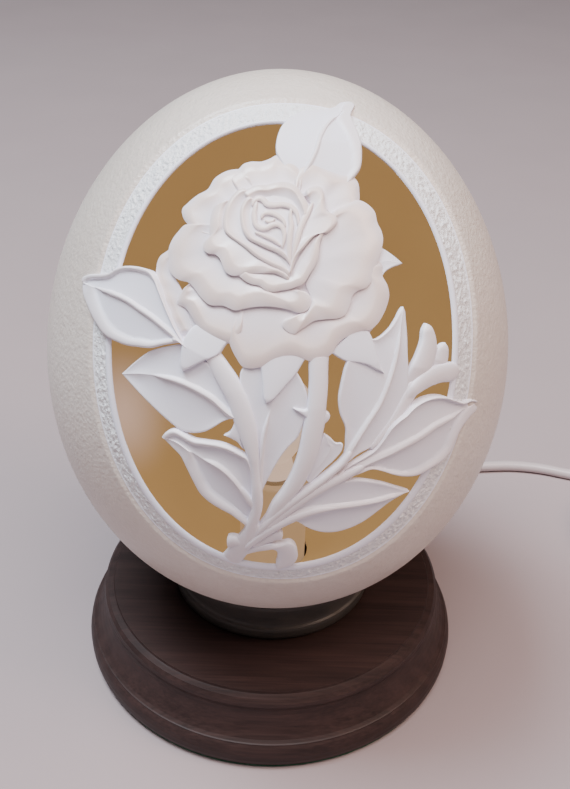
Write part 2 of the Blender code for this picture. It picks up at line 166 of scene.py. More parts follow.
@dataclass
class Surface:
    """A closed surface as arrays: its points, its four-sided faces and its three-sided faces.

    Marks give each face's finish. lift says of each carved point whether it's in a hollow (0) or on a rim (1);
    from it the finish paints cool light in the hollows and warm light on the rims.
    """

    points: Array
    quads: Array
    triangles: Array
    marks: Array | None = None
    lift: Array | None = None

    def facing_out(self) -> "Surface":
        """The same surface with its faces turned outwards.

        The faces are turned over if the sum of the triple products of their corners, from the points' middle,
        is less than nothing. It's six times the signed volume.

        Returns:
            The surface, without marks or lift.
        """
        faces = np.concatenate([self.triangles, self.quads[:, [0, 1, 2]], self.quads[:, [0, 2, 3]]])
        a, b, c = (self.points[faces[:, k]] - self.points.mean(axis=0) for k in range(3))
        step = -1 if np.einsum("ij,ij->i", a, np.cross(b, c)).sum() < 0 else 1
        return Surface(self.points, self.quads[:, ::step], self.triangles[:, ::step])


def tube(rows: Array) -> Surface:
    """A closed tube from a grid whose rows are closed loops, with a fan to the middle of each end loop.

    Args:
        rows: a rows by around by 3 array.

    Returns:
        The closed surface, facing out.
    """
    count, around, _ = rows.shape
    index = np.arange(count * around).reshape(count, around)
    turn = np.roll(index, -1, axis=1)
    quads = np.stack([index[:-1], turn[:-1], turn[1:], index[1:]], axis=-1).reshape(-1, 4)
    first, last = count * around, count * around + 1
    fan_a = np.stack([turn[0], index[0], np.full(around, first)], axis=-1)
    fan_b = np.stack([index[-1], turn[-1], np.full(around, last)], axis=-1)
    points = np.concatenate([rows.reshape(-1, 3), [rows[0].mean(axis=0)], [rows[-1].mean(axis=0)]])
    return Surface(points, quads, np.concatenate([fan_a, fan_b])).facing_out()


def ring_surface(rows: Array) -> Surface:
    """A closed ring from a grid that closes on itself both ways.

    Args:
        rows: a rows by around by 3 array; the last row meets the first.

    Returns:
        The closed surface, facing out.
    """
    count, around, _ = rows.shape
    index = np.arange(count * around).reshape(count, around)
    down = np.roll(index, -1, axis=0)
    quads = np.stack([index, np.roll(index, -1, axis=1), np.roll(down, -1, axis=1), down], axis=-1).reshape(-1, 4)
    return Surface(rows.reshape(-1, 3), quads, np.zeros((0, 3), int)).facing_out()


def turned(radius: Array, height: Array, steps: int) -> Array:
    """Rows of points carried round the vertical axis.

    Args:
        radius: each row's radius, as a column or as rows by steps.
        height: each row's height, as a column.
        steps: how many steps round.

    Returns:
        A rows by steps by 3 array.
    """
    turn = full_turn(steps)
    return np.stack([radius * np.cos(turn), radius * np.sin(turn), height + 0 * turn], axis=-1)


def lathe(profile: Array, steps: int) -> Surface:
    """A turned solid from a profile of (radius, height) points in metres; each end is closed with a fan."""
    return tube(turned(profile[:, :1], profile[:, 1:], steps))


def lathe_ring(profile: Array, steps: int) -> Surface:
    """A turned ring from a closed profile of (radius, height) points in metres."""
    return ring_surface(turned(profile[:, :1], profile[:, 1:], steps))


def rounded(profile: Line, radius: float, steps: int = 4) -> Array:
    """A profile with each inner corner rounded: a parabola between points the radius before and after it.

    Args:
        profile: corners in millimetres.
        radius: how far from each corner its rounding starts, at most 0.45 of either side.
        steps: points on each rounding less one.

    Returns:
        A points by 2 array in metres.
    """
    corners = np.asarray(profile, float)
    here = corners[1:-1]

    def part_way(other: Array) -> Array:
        """The points toward other corners where the roundings start or end."""
        side = np.linalg.norm(other - here, axis=1)[:, None]
        return here + (other - here) / side * np.minimum(radius, ROUNDING_SHARE * side)

    start, end = part_way(corners[:-2]), part_way(corners[2:])
    t = np.linspace(0, 1, steps + 1)[None, :, None]
    bends = (1 - t) ** 2 * start[:, None] + 2 * t * (1 - t) * here[:, None] + t**2 * end[:, None]
    return np.concatenate([corners[:1], bends.reshape(-1, 2), corners[-1:]]) * MM


def add_piece(
    name: str, surfaces: list[Surface], finishes: list[bpy.types.Material], nodes: tuple[str, ...],
    crease: float = 40.0,
) -> bpy.types.Object:
    """Makes one piece at the origin from closed surfaces, and hides the CAD nodes that it stands for.

    Args:
        name: the piece's name.
        surfaces: its closed surfaces; a surface's marks give each face's finish. All have a lift for the painted light
            of the finish, or none has.
        finishes: its materials.
        nodes: the CAD nodes that it replaces.
        crease: edges bent more than this many degrees stay sharp.

    Returns:
        The new object.
    """
    shift, points, faces, marks = 0, [], [], []
    for surface in surfaces:
        points.append(surface.points)
        faces += (surface.quads + shift).tolist() + (surface.triangles + shift).tolist()
        count = len(surface.quads) + len(surface.triangles)
        marks.append(np.zeros(count, int) if surface.marks is None else surface.marks)
        shift += len(surface.points)
    mesh = bpy.data.meshes.new(name)
    mesh.from_pydata(np.concatenate(points).tolist(), [], faces)
    for finish in finishes:
        mesh.materials.append(finish)
    mesh.polygons.foreach_set("material_index", np.concatenate(marks).astype(np.int32))
    if surfaces[0].lift is not None:
        lift = np.concatenate([surface.lift for surface in surfaces]).astype(np.float32)
        mesh.attributes.new("lift", "FLOAT", "POINT").data.foreach_set("value", lift)
    mesh.shade_smooth()
    mesh.set_sharp_from_angle(angle=math.radians(crease))
    piece = bpy.data.objects.new(name, mesh)
    bpy.context.scene.collection.objects.link(piece)
    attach(piece, "root")
    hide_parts(*nodes)
    log.info("%s: %d points, %d faces", name, len(mesh.vertices), len(mesh.polygons))
    return piece


# ---------------------------------------------------------------- finishes

# The colour mix's share, two colours and result, by their places among the node's sockets.
MIX_SHARE, MIX_FIRST, MIX_SECOND, MIX_RESULT = 0, 6, 7, 2


@dataclass(frozen=True)
class Speckle:
    """One noise that tints, dents or dulls a finish: its grain in millimetres and its strengths."""

    grain: float
    tint: float = 0.0
    dent: float = 0.0
    stretch: Triple = (1.0, 1.0, 1.0)
    detail: float = 3.0
    roughness: float = 0.0


@dataclass(frozen=True)
class PaintedHighlight:
    """A painted highlight: a soft-edged spot of lighter colour that stands in for a reflection, its middle and its
    reach in millimetres.
    """

    middle: Triple
    reach: float
    colour: Triple


@dataclass(frozen=True)
class Wiring:
    """A material's node tree, with calls that add a node and wire it up.

    A noise below the first level of spread counts as nothing, and above the second as one.
    """

    tree: bpy.types.NodeTree
    spread: tuple[float, float] = (0.3, 0.7)

    def wire(self, node: bpy.types.Node, inputs: dict[str | int, object]) -> None:
        """Sets a node's inputs: a socket is linked to the input, and anything else is its value."""
        for name, value in inputs.items():
            if isinstance(value, Socket):
                self.tree.links.new(value, node.inputs[name])
            else:
                node.inputs[name].default_value = value

    def add(self, kind: str, inputs: dict[str | int, object], **settings: object) -> bpy.types.Node:
        """Adds a node.

        Args:
            kind: the node's type without the words that all shader nodes share.
            inputs: a socket or a value for each input that is set.
            settings: the node's own settings.

        Returns:
            The new node.
        """
        node = self.tree.nodes.new("ShaderNode" + kind)
        for name, value in settings.items():
            setattr(node, name, value)
        self.wire(node, inputs)
        return node

    def mix(self, share: Socket, first: Triple | Socket, second: Triple | Socket) -> Socket:
        """The colour that share of the way from the first to the second."""
        first, second = (side if isinstance(side, Socket) else (*side, 1) for side in (first, second))
        inputs = {MIX_SHARE: share, MIX_FIRST: first, MIX_SECOND: second}
        return self.add("Mix", inputs, data_type="RGBA").outputs[MIX_RESULT]

    def total(self, noise: Socket, weight: float, before: Socket | None) -> Socket:
        """Adds a weighted noise, sharpened about its middle, to what came before.

        Args:
            noise: the noise, around 0.5.
            weight: its share.
            before: the sum so far, or None.

        Returns:
            The new sum.
        """
        low, high = self.spread
        inputs = {"Value": noise, "From Min": low, "From Max": high, "To Max": weight}
        share = self.add("MapRange", inputs).outputs["Result"]
        return self.add("Math", {0: before, 1: share}, operation="ADD").outputs[0] if before else share


@dataclass(frozen=True)
class Finish:
    """A finish for a surface: its colour, gloss and the speckles that give it life."""

    name: str
    colour: Triple
    second: Triple
    roughness: float
    speckles: tuple[Speckle, ...]
    metallic: float = 0.0
    coat: float = 0.0
    coat_roughness: float = 0.1
    sheen: float = 0.0
    specular: float = 0.5
    dent_distance: float = 0.1
    # Emission. On the ochre inside and the card sleeve it is painted light.
    glow: float = 0.0
    painted_highlight: PaintedHighlight | None = None
    # Painted light: the cool tint that the carving's hollows catch, mixed in where the painted light lift is low. The
    # rims keep the warm lit colour.
    hollow: Triple | None = None

    def make(self) -> bpy.types.Material:
        """Builds the finish as a node material on Object coordinates.

        The colour moves from colour to second with the summed tints. It then moves to the painted light of the hollows
        where the carving's painted light lift is low, and to the painted highlight's colour near its middle. The dents
        push a bump in turn.

        Returns:
            The new material.
        """
        material = bpy.data.materials.new(self.name)
        material.use_nodes = True
        wiring = Wiring(material.node_tree)
        shader = material.node_tree.nodes["Principled BSDF"]
        place = wiring.add("TexCoord", {}).outputs["Object"]
        tint, rough, normal = None, None, None
        for speckle in self.speckles:
            scale = [stretch / (speckle.grain * MM) for stretch in speckle.stretch]
            grid = wiring.add("Mapping", {"Vector": place, "Scale": scale}).outputs["Vector"]
            noise = wiring.add("TexNoise", {"Vector": grid, "Scale": 1.0, "Detail": speckle.detail}).outputs["Fac"]
            if speckle.tint:
                tint = wiring.total(noise, speckle.tint, tint)
            if speckle.roughness:
                rough = wiring.total(noise, speckle.roughness, rough)
            if speckle.dent:
                dent = {"Height": noise, "Strength": speckle.dent, "Distance": self.dent_distance * MM}
                normal = wiring.add("Bump", dent | ({"Normal": normal} if normal else {})).outputs["Normal"]
        colour, emission = wiring.mix(tint, self.colour, self.second), (*self.colour, 1)
        # Painted light: cool in the carving's hollows and warm on its rims, as the two lights fall.
        if self.hollow:
            lift = wiring.add("Attribute", {}, attribute_name="lift").outputs["Fac"]
            colour = wiring.mix(lift, self.hollow, colour)
        # Painted highlight: a reflection painted on, which the glow carries too.
        if self.painted_highlight:
            colour = emission = self._painted_highlight_over(wiring, place, colour)
        wiring.wire(shader, {
            "Base Color": colour, "Normal": normal, "Roughness": self.roughness, "Metallic": self.metallic,
            "Coat Weight": self.coat, "Coat Roughness": self.coat_roughness, "Sheen Weight": self.sheen,
            "Specular IOR Level": self.specular,
        })
        # The glow is painted light on parts that are no lamp, such as the inside and the sleeve.
        if self.glow:
            wiring.wire(shader, {"Emission Color": emission, "Emission Strength": self.glow})
        if rough:
            least = self.roughness - 0.5 * sum(speckle.roughness for speckle in self.speckles)
            level = wiring.add("Math", {0: rough, 1: least}, operation="ADD", use_clamp=True)
            wiring.wire(shader, {"Roughness": level.outputs[0]})
        return material

    def _painted_highlight_over(self, wiring: Wiring, place: Socket, before: Socket) -> Socket:
        """The colour with the painted highlight laid over it, fading with the distance from the highlight's middle.

        Args:
            wiring: the material's nodes.
            place: the Object coordinates.
            before: the colour without the patch.

        Returns:
            The colour with the painted highlight.
        """
        middle = [value * MM for value in self.painted_highlight.middle]
        gap = wiring.add("VectorMath", {0: place, 1: middle}, operation="DISTANCE").outputs["Value"]
        fade = wiring.add(
            "MapRange", {"Value": gap, "From Max": self.painted_highlight.reach * MM, "To Min": 1.0, "To Max": 0.0},
            interpolation_type="SMOOTHSTEP",
        )
        return wiring.mix(fade.outputs["Result"], before, self.painted_highlight.colour)


class Look(Enum):
    """Every finish on the lamp."""

    SHELL = Finish(
        "glossy_eggshell", (0.74, 0.65, 0.59), (0.66, 0.56, 0.495), 0.36,
        (
            Speckle(26, tint=0.5, detail=2), Speckle(2.4, tint=0.2, dent=0.5, detail=1),
            Speckle(0.9, tint=0.35, dent=0.6),
        ),
        coat=0.2, coat_roughness=0.3, dent_distance=0.45,
    )
    CARVED = Finish(
        "carved_white", (0.89, 0.81, 0.845), (0.84, 0.77, 0.795), 0.46,
        (Speckle(12, tint=0.5, detail=2), Speckle(1.6, dent=0.18), Speckle(0.4, dent=0.10)),
        # The hollow colour is painted light: the cool tint that the hollows catch, while the rims keep the warm lit
        # colour.
        hollow=(0.89, 0.87, 0.97),
    )
    PETAL = Finish(
        "carved_petal", (0.87, 0.71, 0.662), (0.82, 0.665, 0.62), 0.36,
        (Speckle(12, tint=0.5, detail=2), Speckle(2.5, dent=0.3), Speckle(0.4, dent=0.10)),
        # The hollow colour is painted light: the cool tint that the hollows catch, while the rims keep the warm lit
        # colour.
        coat=0.35, coat_roughness=0.2, hollow=(0.85, 0.78, 0.84),
    )
    STIPPLE = Finish(
        "stippled_ivory", (0.87, 0.85, 0.87), (0.80, 0.78, 0.79), 0.45,
        (Speckle(0.9, tint=0.7, dent=0.8, detail=1), Speckle(0.5, dent=0.5, detail=1)), dent_distance=0.42,
    )
    # The inside's glow is painted light that lifts the ochre paint. Its pinkish spot low on the left is a painted
    # highlight: a reflection painted onto the glossy paint.
    INSIDE = Finish(
        "ochre_inside", (0.315, 0.204, 0.086), (0.29, 0.181, 0.075), 0.62,
        (Speckle(30, tint=0.5, detail=1), Speckle(1.5, dent=0.1)), glow=0.8,
        painted_highlight=PaintedHighlight((-49, 22, 69), 24, (0.52, 0.39, 0.32)),
    )
    BRONZE = Finish(
        "dark_bronze", (0.080, 0.074, 0.070), (0.125, 0.105, 0.088), 0.5,
        (Speckle(7, tint=0.6, roughness=0.2), Speckle(0.5, dent=0.05)), metallic=0.4,
    )
    MAHOGANY = Finish(
        "dark_mahogany", (0.018, 0.0098, 0.0092), (0.053, 0.028, 0.025), 0.56,
        (
            Speckle(3.2, tint=0.5, stretch=(0.05, 1.0, 1.0), detail=5),
            Speckle(0.7, tint=0.5, dent=0.12, stretch=(0.03, 1.0, 1.0), detail=3, roughness=0.1),
        ),
        coat=0.05, coat_roughness=0.25, specular=0.25,
    )
    FELT = Finish(
        "green_felt", (0.012, 0.070, 0.035), (0.035, 0.12, 0.065), 0.95,
        (Speckle(0.6, tint=0.8, dent=0.8), Speckle(5, tint=0.2)), sheen=0.5, specular=0.2,
    )
    # The sleeve's glow is painted light that flattens its shading and fills the shade under the bulb.
    SLEEVE = Finish(
        "card_sleeve", (0.335, 0.228, 0.13), (0.288, 0.19, 0.107), 0.6,
        (Speckle(4, tint=0.5, stretch=(1, 1, 0.3)), Speckle(0.6, dent=0.15)), glow=0.9,
    )
    BRASS = Finish(
        "brass", (0.70, 0.52, 0.26), (0.62, 0.45, 0.22), 0.3,
        (Speckle(5.0, tint=0.6, roughness=0.08), Speckle(0.4, dent=0.02)), metallic=1.0,
    )
    NICKEL = Finish(
        "plated_cap", (0.70, 0.68, 0.65), (0.52, 0.50, 0.48), 0.25,
        (Speckle(2.0, tint=0.6, roughness=0.15), Speckle(0.4, dent=0.05)), metallic=1.0,
    )
    FROSTED = Finish(
        "frosted_bulb", (0.84, 0.69, 0.60), (0.77, 0.60, 0.515), 0.42,
        (Speckle(9, tint=0.6, detail=1), Speckle(0.5, dent=0.06)), glow=0.55,
    )
    CORD = Finish(
        "white_cord", (0.52, 0.435, 0.435), (0.47, 0.39, 0.39), 0.33,
        (Speckle(14, tint=0.5, detail=1), Speckle(1.2, dent=0.10)), coat=0.15,
    )
    PLUG = Finish(
        "white_plug", (0.66, 0.60, 0.60), (0.60, 0.545, 0.545), 0.38,
        (Speckle(9, tint=0.5, detail=1), Speckle(0.5, dent=0.12)), coat=0.1,
    )
    TIE = Finish(
        "black_tie", (0.02, 0.02, 0.02), (0.04, 0.04, 0.04), 0.5,
        (Speckle(1.0, tint=0.6, dent=0.3),),
    )
    FLOOR = Finish(
        "pale_floor", (0.365, 0.293, 0.297), (0.34, 0.272, 0.277), 0.9,
        (Speckle(60, tint=0.5, detail=2), Speckle(1.0, dent=0.2)), specular=0.2,
    )

    def material(self) -> bpy.types.Material:
        """The finish as a material, made once."""
        return bpy.data.materials.get(self.value.name) or self.value.make()


# ---------------------------------------------------------------- the egg and how it was set out


@dataclass(frozen=True)
class EggForm:
    """The egg's outside: an ellipsoid of revolution that is slightly fuller below, and its wall."""

    half_width: float = 63.3
    half_length: float = 76.7
    taper: float = -0.035
    centre: float = 107.1
    wall: float = 2.2

    def section(self, height: Array) -> tuple[Array, Array]:
        """The height from the centre as a share of the half length, and the half width thinned by the taper."""
        level = (height - self.centre) / self.half_length
        return level, self.half_width * (1 + self.taper * level)

    def outside(self, points: Array) -> Array:
        """How far outside each point is: the squared share of the width plus the squared share of the length.

        Args:
            points: ... by 3 array in millimetres.

        Returns:
            One at the surface, more outside it.
        """
        level, width = self.section(points[..., 2])
        return (points[..., 0] ** 2 + points[..., 1] ** 2) / width**2 + level**2

    def normal(self, points: Array) -> Array:
        """The outward normal: the gradient of the outside function, scaled to length one."""
        level, width = self.section(points[..., 2])
        around = points[..., 0] ** 2 + points[..., 1] ** 2
        climb = 2 * level / self.half_length - 2 * around * self.half_width * self.taper / self.half_length / width**3
        slope = np.stack([2 * points[..., 0] / width**2, 2 * points[..., 1] / width**2, climb], axis=-1)
        return slope / np.linalg.norm(slope, axis=-1, keepdims=True)

    def at(self, polar: Array, turn: Array, raised: Array | float = 0.0) -> Array:
        """Points at an angle from the top and a turn round the axis, raised along the normal.

        The radius is the half width times the sine, thinned by the taper times the cosine, and the height
        is the centre plus the half length times the cosine.

        Args:
            polar: angle from the top, in radians.
            turn: angle round the axis from +X, in radians.
            raised: millimetres outward.

        Returns:
            ... by 3 array in metres.
        """
        radius = self.half_width * np.sin(polar) * (1 + self.taper * np.cos(polar))
        height = self.centre + self.half_length * np.cos(polar)
        points = np.stack([radius * np.cos(turn), radius * np.sin(turn), height], axis=-1)
        return (points + np.asarray(raised)[..., None] * self.normal(points)) * MM


@dataclass(frozen=True)
class SettingOut:
    """The carving's drawing plane: through the egg's middle, square to the line of sight of one eye point.

    A drawn point (across, up) stands for the shell point where the line from the eye meets the egg. Nothing of
    the egg is nearer the eye than the near share of the way to the plane.
    """

    egg: EggForm = EggForm()
    eye: Triple = EYE
    tilt: float = TILT
    near: float = 0.3
    halvings: int = 40

    def shell(self, drawn: Array) -> Array:
        """The shell points of drawn points, by halving the stretch between eye and plane again and again.

        Args:
            drawn: ... by 2 array in millimetres.

        Returns:
            ... by 3 array in millimetres.
        """
        up = np.array([0, math.sin(self.tilt), math.cos(self.tilt)])
        target = np.array([0, 0, self.egg.centre]) + drawn[..., :1] * np.array([1.0, 0, 0]) + drawn[..., 1:2] * up
        eye = np.array(self.eye)
        low, high = np.full(drawn.shape[:-1], self.near), np.ones(drawn.shape[:-1])
        for _ in range(self.halvings):
            middle = (low + high) / 2
            out = self.egg.outside(eye + middle[..., None] * (target - eye)) > 1
            low, high = np.where(out, middle, low), np.where(out, high, middle)
        return eye + low[..., None] * (target - eye)

    def carve(self, drawn: Array, height: Array) -> Array:
        """Drawn points at a height above the shell's outside, in metres."""
        shell = self.shell(drawn)
        return (shell + height[..., None] * self.egg.normal(shell)) * MM

    def oval(self, centre: tuple[float, float], half: tuple[float, float], turn: Array, power: float = 2.1) -> Array:
        """An oval of the drawing: a slightly squared circle stretched to the half sizes."""
        return np.array(centre) + np.array(half) * squared_circle(turn, power)


@dataclass
class EggShell:
    """The plain shell and the stippled oval border round its window.

    A point of outer_line is a share of the way from the window's edge to the border's edge, and a height. In
    lip_line the share is of the lip's own part of that way, and the height is above border_level. A row of
    stipple_grains is a strength, its cells and its seed.
    """

    drawing: SettingOut = SettingOut()
    window_centre: tuple[float, float] = (1.1, 1.65)
    window_half: tuple[float, float] = (49.1, 63.0)
    border_centre: tuple[float, float] = (1.3, 2.5)
    border_half: tuple[float, float] = (53.8, 67.3)
    foot_hole: float = 11.4
    shell_steps: int = 320
    ray_points: tuple[int, ...] = (0, 6, 9, 90)
    ray_shares: tuple[float, ...] = (0.0, 0.012, 0.03, 1.0)
    inside_stride: int = 3
    edge_sink: float = 0.62
    edge_width: float = 1.5
    edge_power: float = 1.5
    border_steps: int = 1100
    border_level: float = -0.75
    lip_line: Line = ((0.0, -0.75), (0.08, -0.45), (0.2, -0.25), (0.45, -0.06), (0.75, 0.05), (1.0, -0.03))
    lip_low: float = 0.34
    lip_high: float = 0.10
    field_columns: int = 22
    field_sink: float = 0.14
    field_start: float = 0.02
    field_end: float = 0.93
    outer_line: Line = (
        (0.97, -0.75), (1.0, -0.62), (1.08, -0.75), (1.16, -1.2), (1.16, -2.1), (0.6, -2.2), (0.25, -2.2),
    )
    inside_columns: int = 3
    stipple: float = 0.36
    stipple_grains: tuple[tuple[float, tuple[int, int], int], ...] = ((0.7, (440, 7), 5), (0.45, (720, 10), 8))
    stipple_floor: float = -0.2
    fade_margin: float = 0.05
    fade_widths: tuple[float, float] = (0.12, 0.14)

    def build(self) -> list[bpy.types.Object]:
        """Makes the plain shell and the border.

        Returns:
            The two pieces.
        """
        return [self.plain_shell(), self.border()]

    def plain_shell(self) -> bpy.types.Object:
        """The shell from the border's outer edge back and down to the hole for the socket.

        The sphere of (polar, turn) is laid flat from its lowest point: a point's distance from the middle is
        the tangent of half its polar angle. There each ray from a point inside the window runs from the border's
        edge to the hole's circle, in shares that grow by equal factors. The outside, the hole's wall, the inside
        and the wall at the border follow one another round each ray.

        Returns:
            The piece.
        """
        egg = self.drawing.egg
        turn = full_turn(self.shell_steps)
        rim = self.drawing.shell(self.drawing.oval(self.border_centre, self.border_half, turn))
        polar = np.arccos(np.clip((rim[:, 2] - egg.centre) / egg.half_length, -1, 1))
        flat = np.tan(polar / 2) * np.exp(1j * np.arctan2(rim[:, 1], rim[:, 0]))
        middle = 0.5 * (flat[np.argmax(np.abs(flat))] + flat[np.argmin(np.abs(flat))])
        ray = flat - middle
        heading = ray / np.abs(ray)
        hole = math.tan((math.pi - math.asin(self.foot_hole / egg.half_width / (1 - egg.taper))) / 2)
        along = np.real(heading * np.conj(middle))
        reach = -along + np.sqrt(along**2 + hole**2 - abs(middle) ** 2)
        share = np.interp(np.arange(self.ray_points[-1] + 1), self.ray_points, self.ray_shares)
        place = middle + heading[None] * np.abs(ray)[None] * (reach / np.abs(ray))[None] ** share[:, None]
        at_polar, at_turn = 2 * np.arctan(np.abs(place)), np.angle(place)
        edge = np.linalg.norm(egg.at(at_polar, at_turn) - egg.at(at_polar[:1], at_turn[:1]), axis=-1) / MM
        outside = egg.at(at_polar, at_turn, -self.edge_sink * (1 - ease(edge / self.edge_width)) ** self.edge_power)
        inside = egg.at(at_polar[::-self.inside_stride], at_turn[::-self.inside_stride], -egg.wall)
        rows = np.concatenate([outside, inside], axis=0)
        surface = ring_surface(rows)
        band = np.repeat(np.arange(len(rows)), self.shell_steps)
        surface.marks = ((band >= len(outside)) & (band < len(rows) - 1)).astype(int)
        return add_piece("egg_wall", [surface], [Look.SHELL.material(), Look.INSIDE.material()], ("eggshell",))

    def border(self) -> bpy.types.Object:
        """The sunk oval band: window wall, smooth lip, stippled field, and a step under the plain shell.

        Round the band each section is a list of shares of the way from the window's edge to the border's edge,
        with a height at each. The lip's share eases from lip_low at the bottom to lip_high at the top as the
        sine of the turn, and the field's heights gain two sizes of smooth grains.

        Returns:
            The piece.
        """
        count, columns = self.border_steps, self.field_columns
        turn = full_turn(count)
        lip, outer_edge = np.array(self.lip_line), np.array(self.outer_line)
        lip_share = (self.lip_low + (self.lip_high - self.lip_low) * 0.5 * (1 + np.sin(turn)))[:, None]
        field = np.linspace(0, 1, columns)
        share = np.concatenate([
            lip[:, 0] * lip_share,
            lip_share + self.field_start + (self.field_end - self.field_start - lip_share) * field,
            np.tile(outer_edge[:, 0], (count, 1)),
        ], axis=1)
        height = np.concatenate([
            self.border_level + lip[:, 1], np.full(columns, self.border_level - self.field_sink), outer_edge[:, 1],
        ])
        inner = self.drawing.oval(self.window_centre, self.window_half, turn)
        outer = self.drawing.oval(self.border_centre, self.border_half, turn)
        drawn = inner[:, None] + (outer - inner)[:, None] * share[..., None]
        raised = np.repeat(height[None], count, axis=0)
        rough = sum(strength * grains((count, columns), cells, seed) for strength, cells, seed in self.stipple_grains)
        fade = np.minimum(
            ease((field + self.fade_margin) / self.fade_widths[0]),
            ease((1 + self.fade_margin - field) / self.fade_widths[1]),
        )
        raised[:, len(lip):len(lip) + columns] += self.stipple * np.maximum(rough, self.stipple_floor) * fade
        rows = self.drawing.carve(drawn, raised)
        surface = ring_surface(rows)
        marks = np.zeros(rows.shape[:2], int)
        marks[:, len(lip) - 1:len(lip) + columns] = 1
        marks[:, -1 - self.inside_columns:-1] = 2
        surface.marks = marks.ravel()
        finishes = [Look.CARVED.material(), Look.STIPPLE.material(), Look.INSIDE.material()]
        return add_piece("stippled_border", [surface], finishes, ("eggshell",), crease=80)


# ---------------------------------------------------------------- the carving's members

# Shares of the way from a blade's rib to its edge, close together at both.
BLADE_SHARES = np.concatenate([
    [0, 0.02, 0.04, 0.06, 0.08, 0.1, 0.125, 0.15, 0.18, 0.22, 0.27, 0.34, 0.42], np.linspace(0.5, 0.9, 9),
    [0.93, 0.96, 0.985, 1],
])


@dataclass(frozen=True)
class Blade:
    """A leaf, sepal, bud or stem between two drawn edges that run from its foot to its tip.

    Heights are millimetres above the shell's outside. The levels are spread evenly from the foot, and the last
    is reached within the settle share of the length. A hollow or a crown is shallower where half the blade is
    narrower than its reach. The rib narrows and fades over the last shares before rib_end, and the very edge
    falls by edge_drop within edge_width.
    """

    name: str
    left: Line
    right: Line
    rib: Line | None = None
    level: tuple[float, ...] = (-0.95, -0.95)
    hollow: float = 0.45
    hollow_reach: float = 5.0
    crown: float = 0.0
    crown_reach: float = 1.5
    rib_width: tuple[float, float] = (1.5, 0.8)
    rib_height: float = 0.35
    rib_end: float = 0.93
    rib_least: float = 0.001
    rib_narrowing: float = 0.15
    rib_fading: float = 0.1
    roll_left: tuple[float, float] = (0.0, 0.0)
    roll_right: tuple[float, float] = (0.0, 0.0)
    roll_height: float = 0.7
    edge_drop: float = 0.3
    edge_width: float = 0.5
    ceiling: float = 0.0
    settle: float = 1.0
    rows: int = 72

    def surface(self, drawing: SettingOut) -> Surface:
        """The blade as a closed solid down to the shell's inside.

        Across a row, the height is the level, less a hollow that is deepest midway between rib and edge,
        plus a domed rib, plus a domed roll along either edge, less a quick fall at the very edge.

        Args:
            drawing: the plane that the edges are drawn on.

        Returns:
            The closed surface.
        """
        left, right = spline(self.left, self.rows), spline(self.right, self.rows)
        middle = (left + right) / 2 if self.rib is None else spline(self.rib, self.rows)
        along = np.linspace(0, 1, self.rows)[:, None]
        across = np.concatenate([-BLADE_SHARES[:0:-1], BLADE_SHARES])[None]
        side = np.where((across < 0)[..., None], left[:, None], right[:, None])
        drawn = middle[:, None] + (side - middle[:, None]) * np.abs(across)[..., None]
        reach = np.linalg.norm(side - middle[:, None], axis=-1)
        from_rib, from_edge = np.abs(across) * reach, (1 - np.abs(across)) * reach
        floor = np.interp(np.minimum(1, along / self.settle), np.linspace(0, 1, len(self.level)), self.level)
        dip = (1 - (2 * np.abs(across) - 1) ** 2) * np.minimum(1, reach / self.hollow_reach)
        height = floor - self.hollow * dip
        height = height + self.crown * dome(across, 1) * np.minimum(1, reach / self.crown_reach)
        if self.rib is not None:
            left_over = self.rib_end - along
            width = 0.5 * (self.rib_width[0] + (self.rib_width[1] - self.rib_width[0]) * along)
            width = width * np.clip(left_over / self.rib_narrowing, 0, 1) ** 0.5 + self.rib_least
            height = height + self.rib_height * dome(from_rib, width) * np.clip(left_over / self.rib_fading, 0, 1)
        for roll, mask in ((self.roll_left, across < 0), (self.roll_right, across > 0)):
            if any(roll):
                width = roll[0] + (roll[1] - roll[0]) * along
                bulge = dome(from_edge - width / 2, width / 2) * mask
                height = height + self.roll_height * bulge * np.minimum(1, reach / width)
        height = height - self.edge_drop * (1 - np.minimum(1, from_edge / self.edge_width)) ** 2
        height = np.minimum(height, self.ceiling)
        lift = (height - floor + 1.2 * self.hollow) / max(self.rib_height + self.hollow, self.roll_height, self.crown)
        return relief(drawing, drawn, height, lift)


def relief(drawing: SettingOut, drawn: Array, height: Array, lift: Array) -> Surface:
    """A closed solid whose top is a grid of drawn points at given heights and whose back is the shell's inside.

    Args:
        drawing: the plane that the points are drawn on.
        drawn: rows by across by 2 array.
        height: rows by across array, in millimetres above the shell's outside.
        lift: rows by across array, 0 in a hollow and 1 on a rim, for the painted light of the finish.

    Returns:
        The closed surface.
    """
    back = drawn[:, [-1, drawn.shape[1] // 2, 0]]
    deep = np.full(back.shape[:2], -drawing.egg.wall)
    loop = np.concatenate([drawn, back], axis=1)
    made = tube(drawing.carve(loop, np.concatenate([height, deep], axis=1)))
    painted_light_rows = np.concatenate([np.clip(lift, 0, 1), 0 * deep], axis=1)
    made.lift = np.concatenate([painted_light_rows.ravel(), painted_light_rows[[0, -1]].mean(axis=1)])
    return made


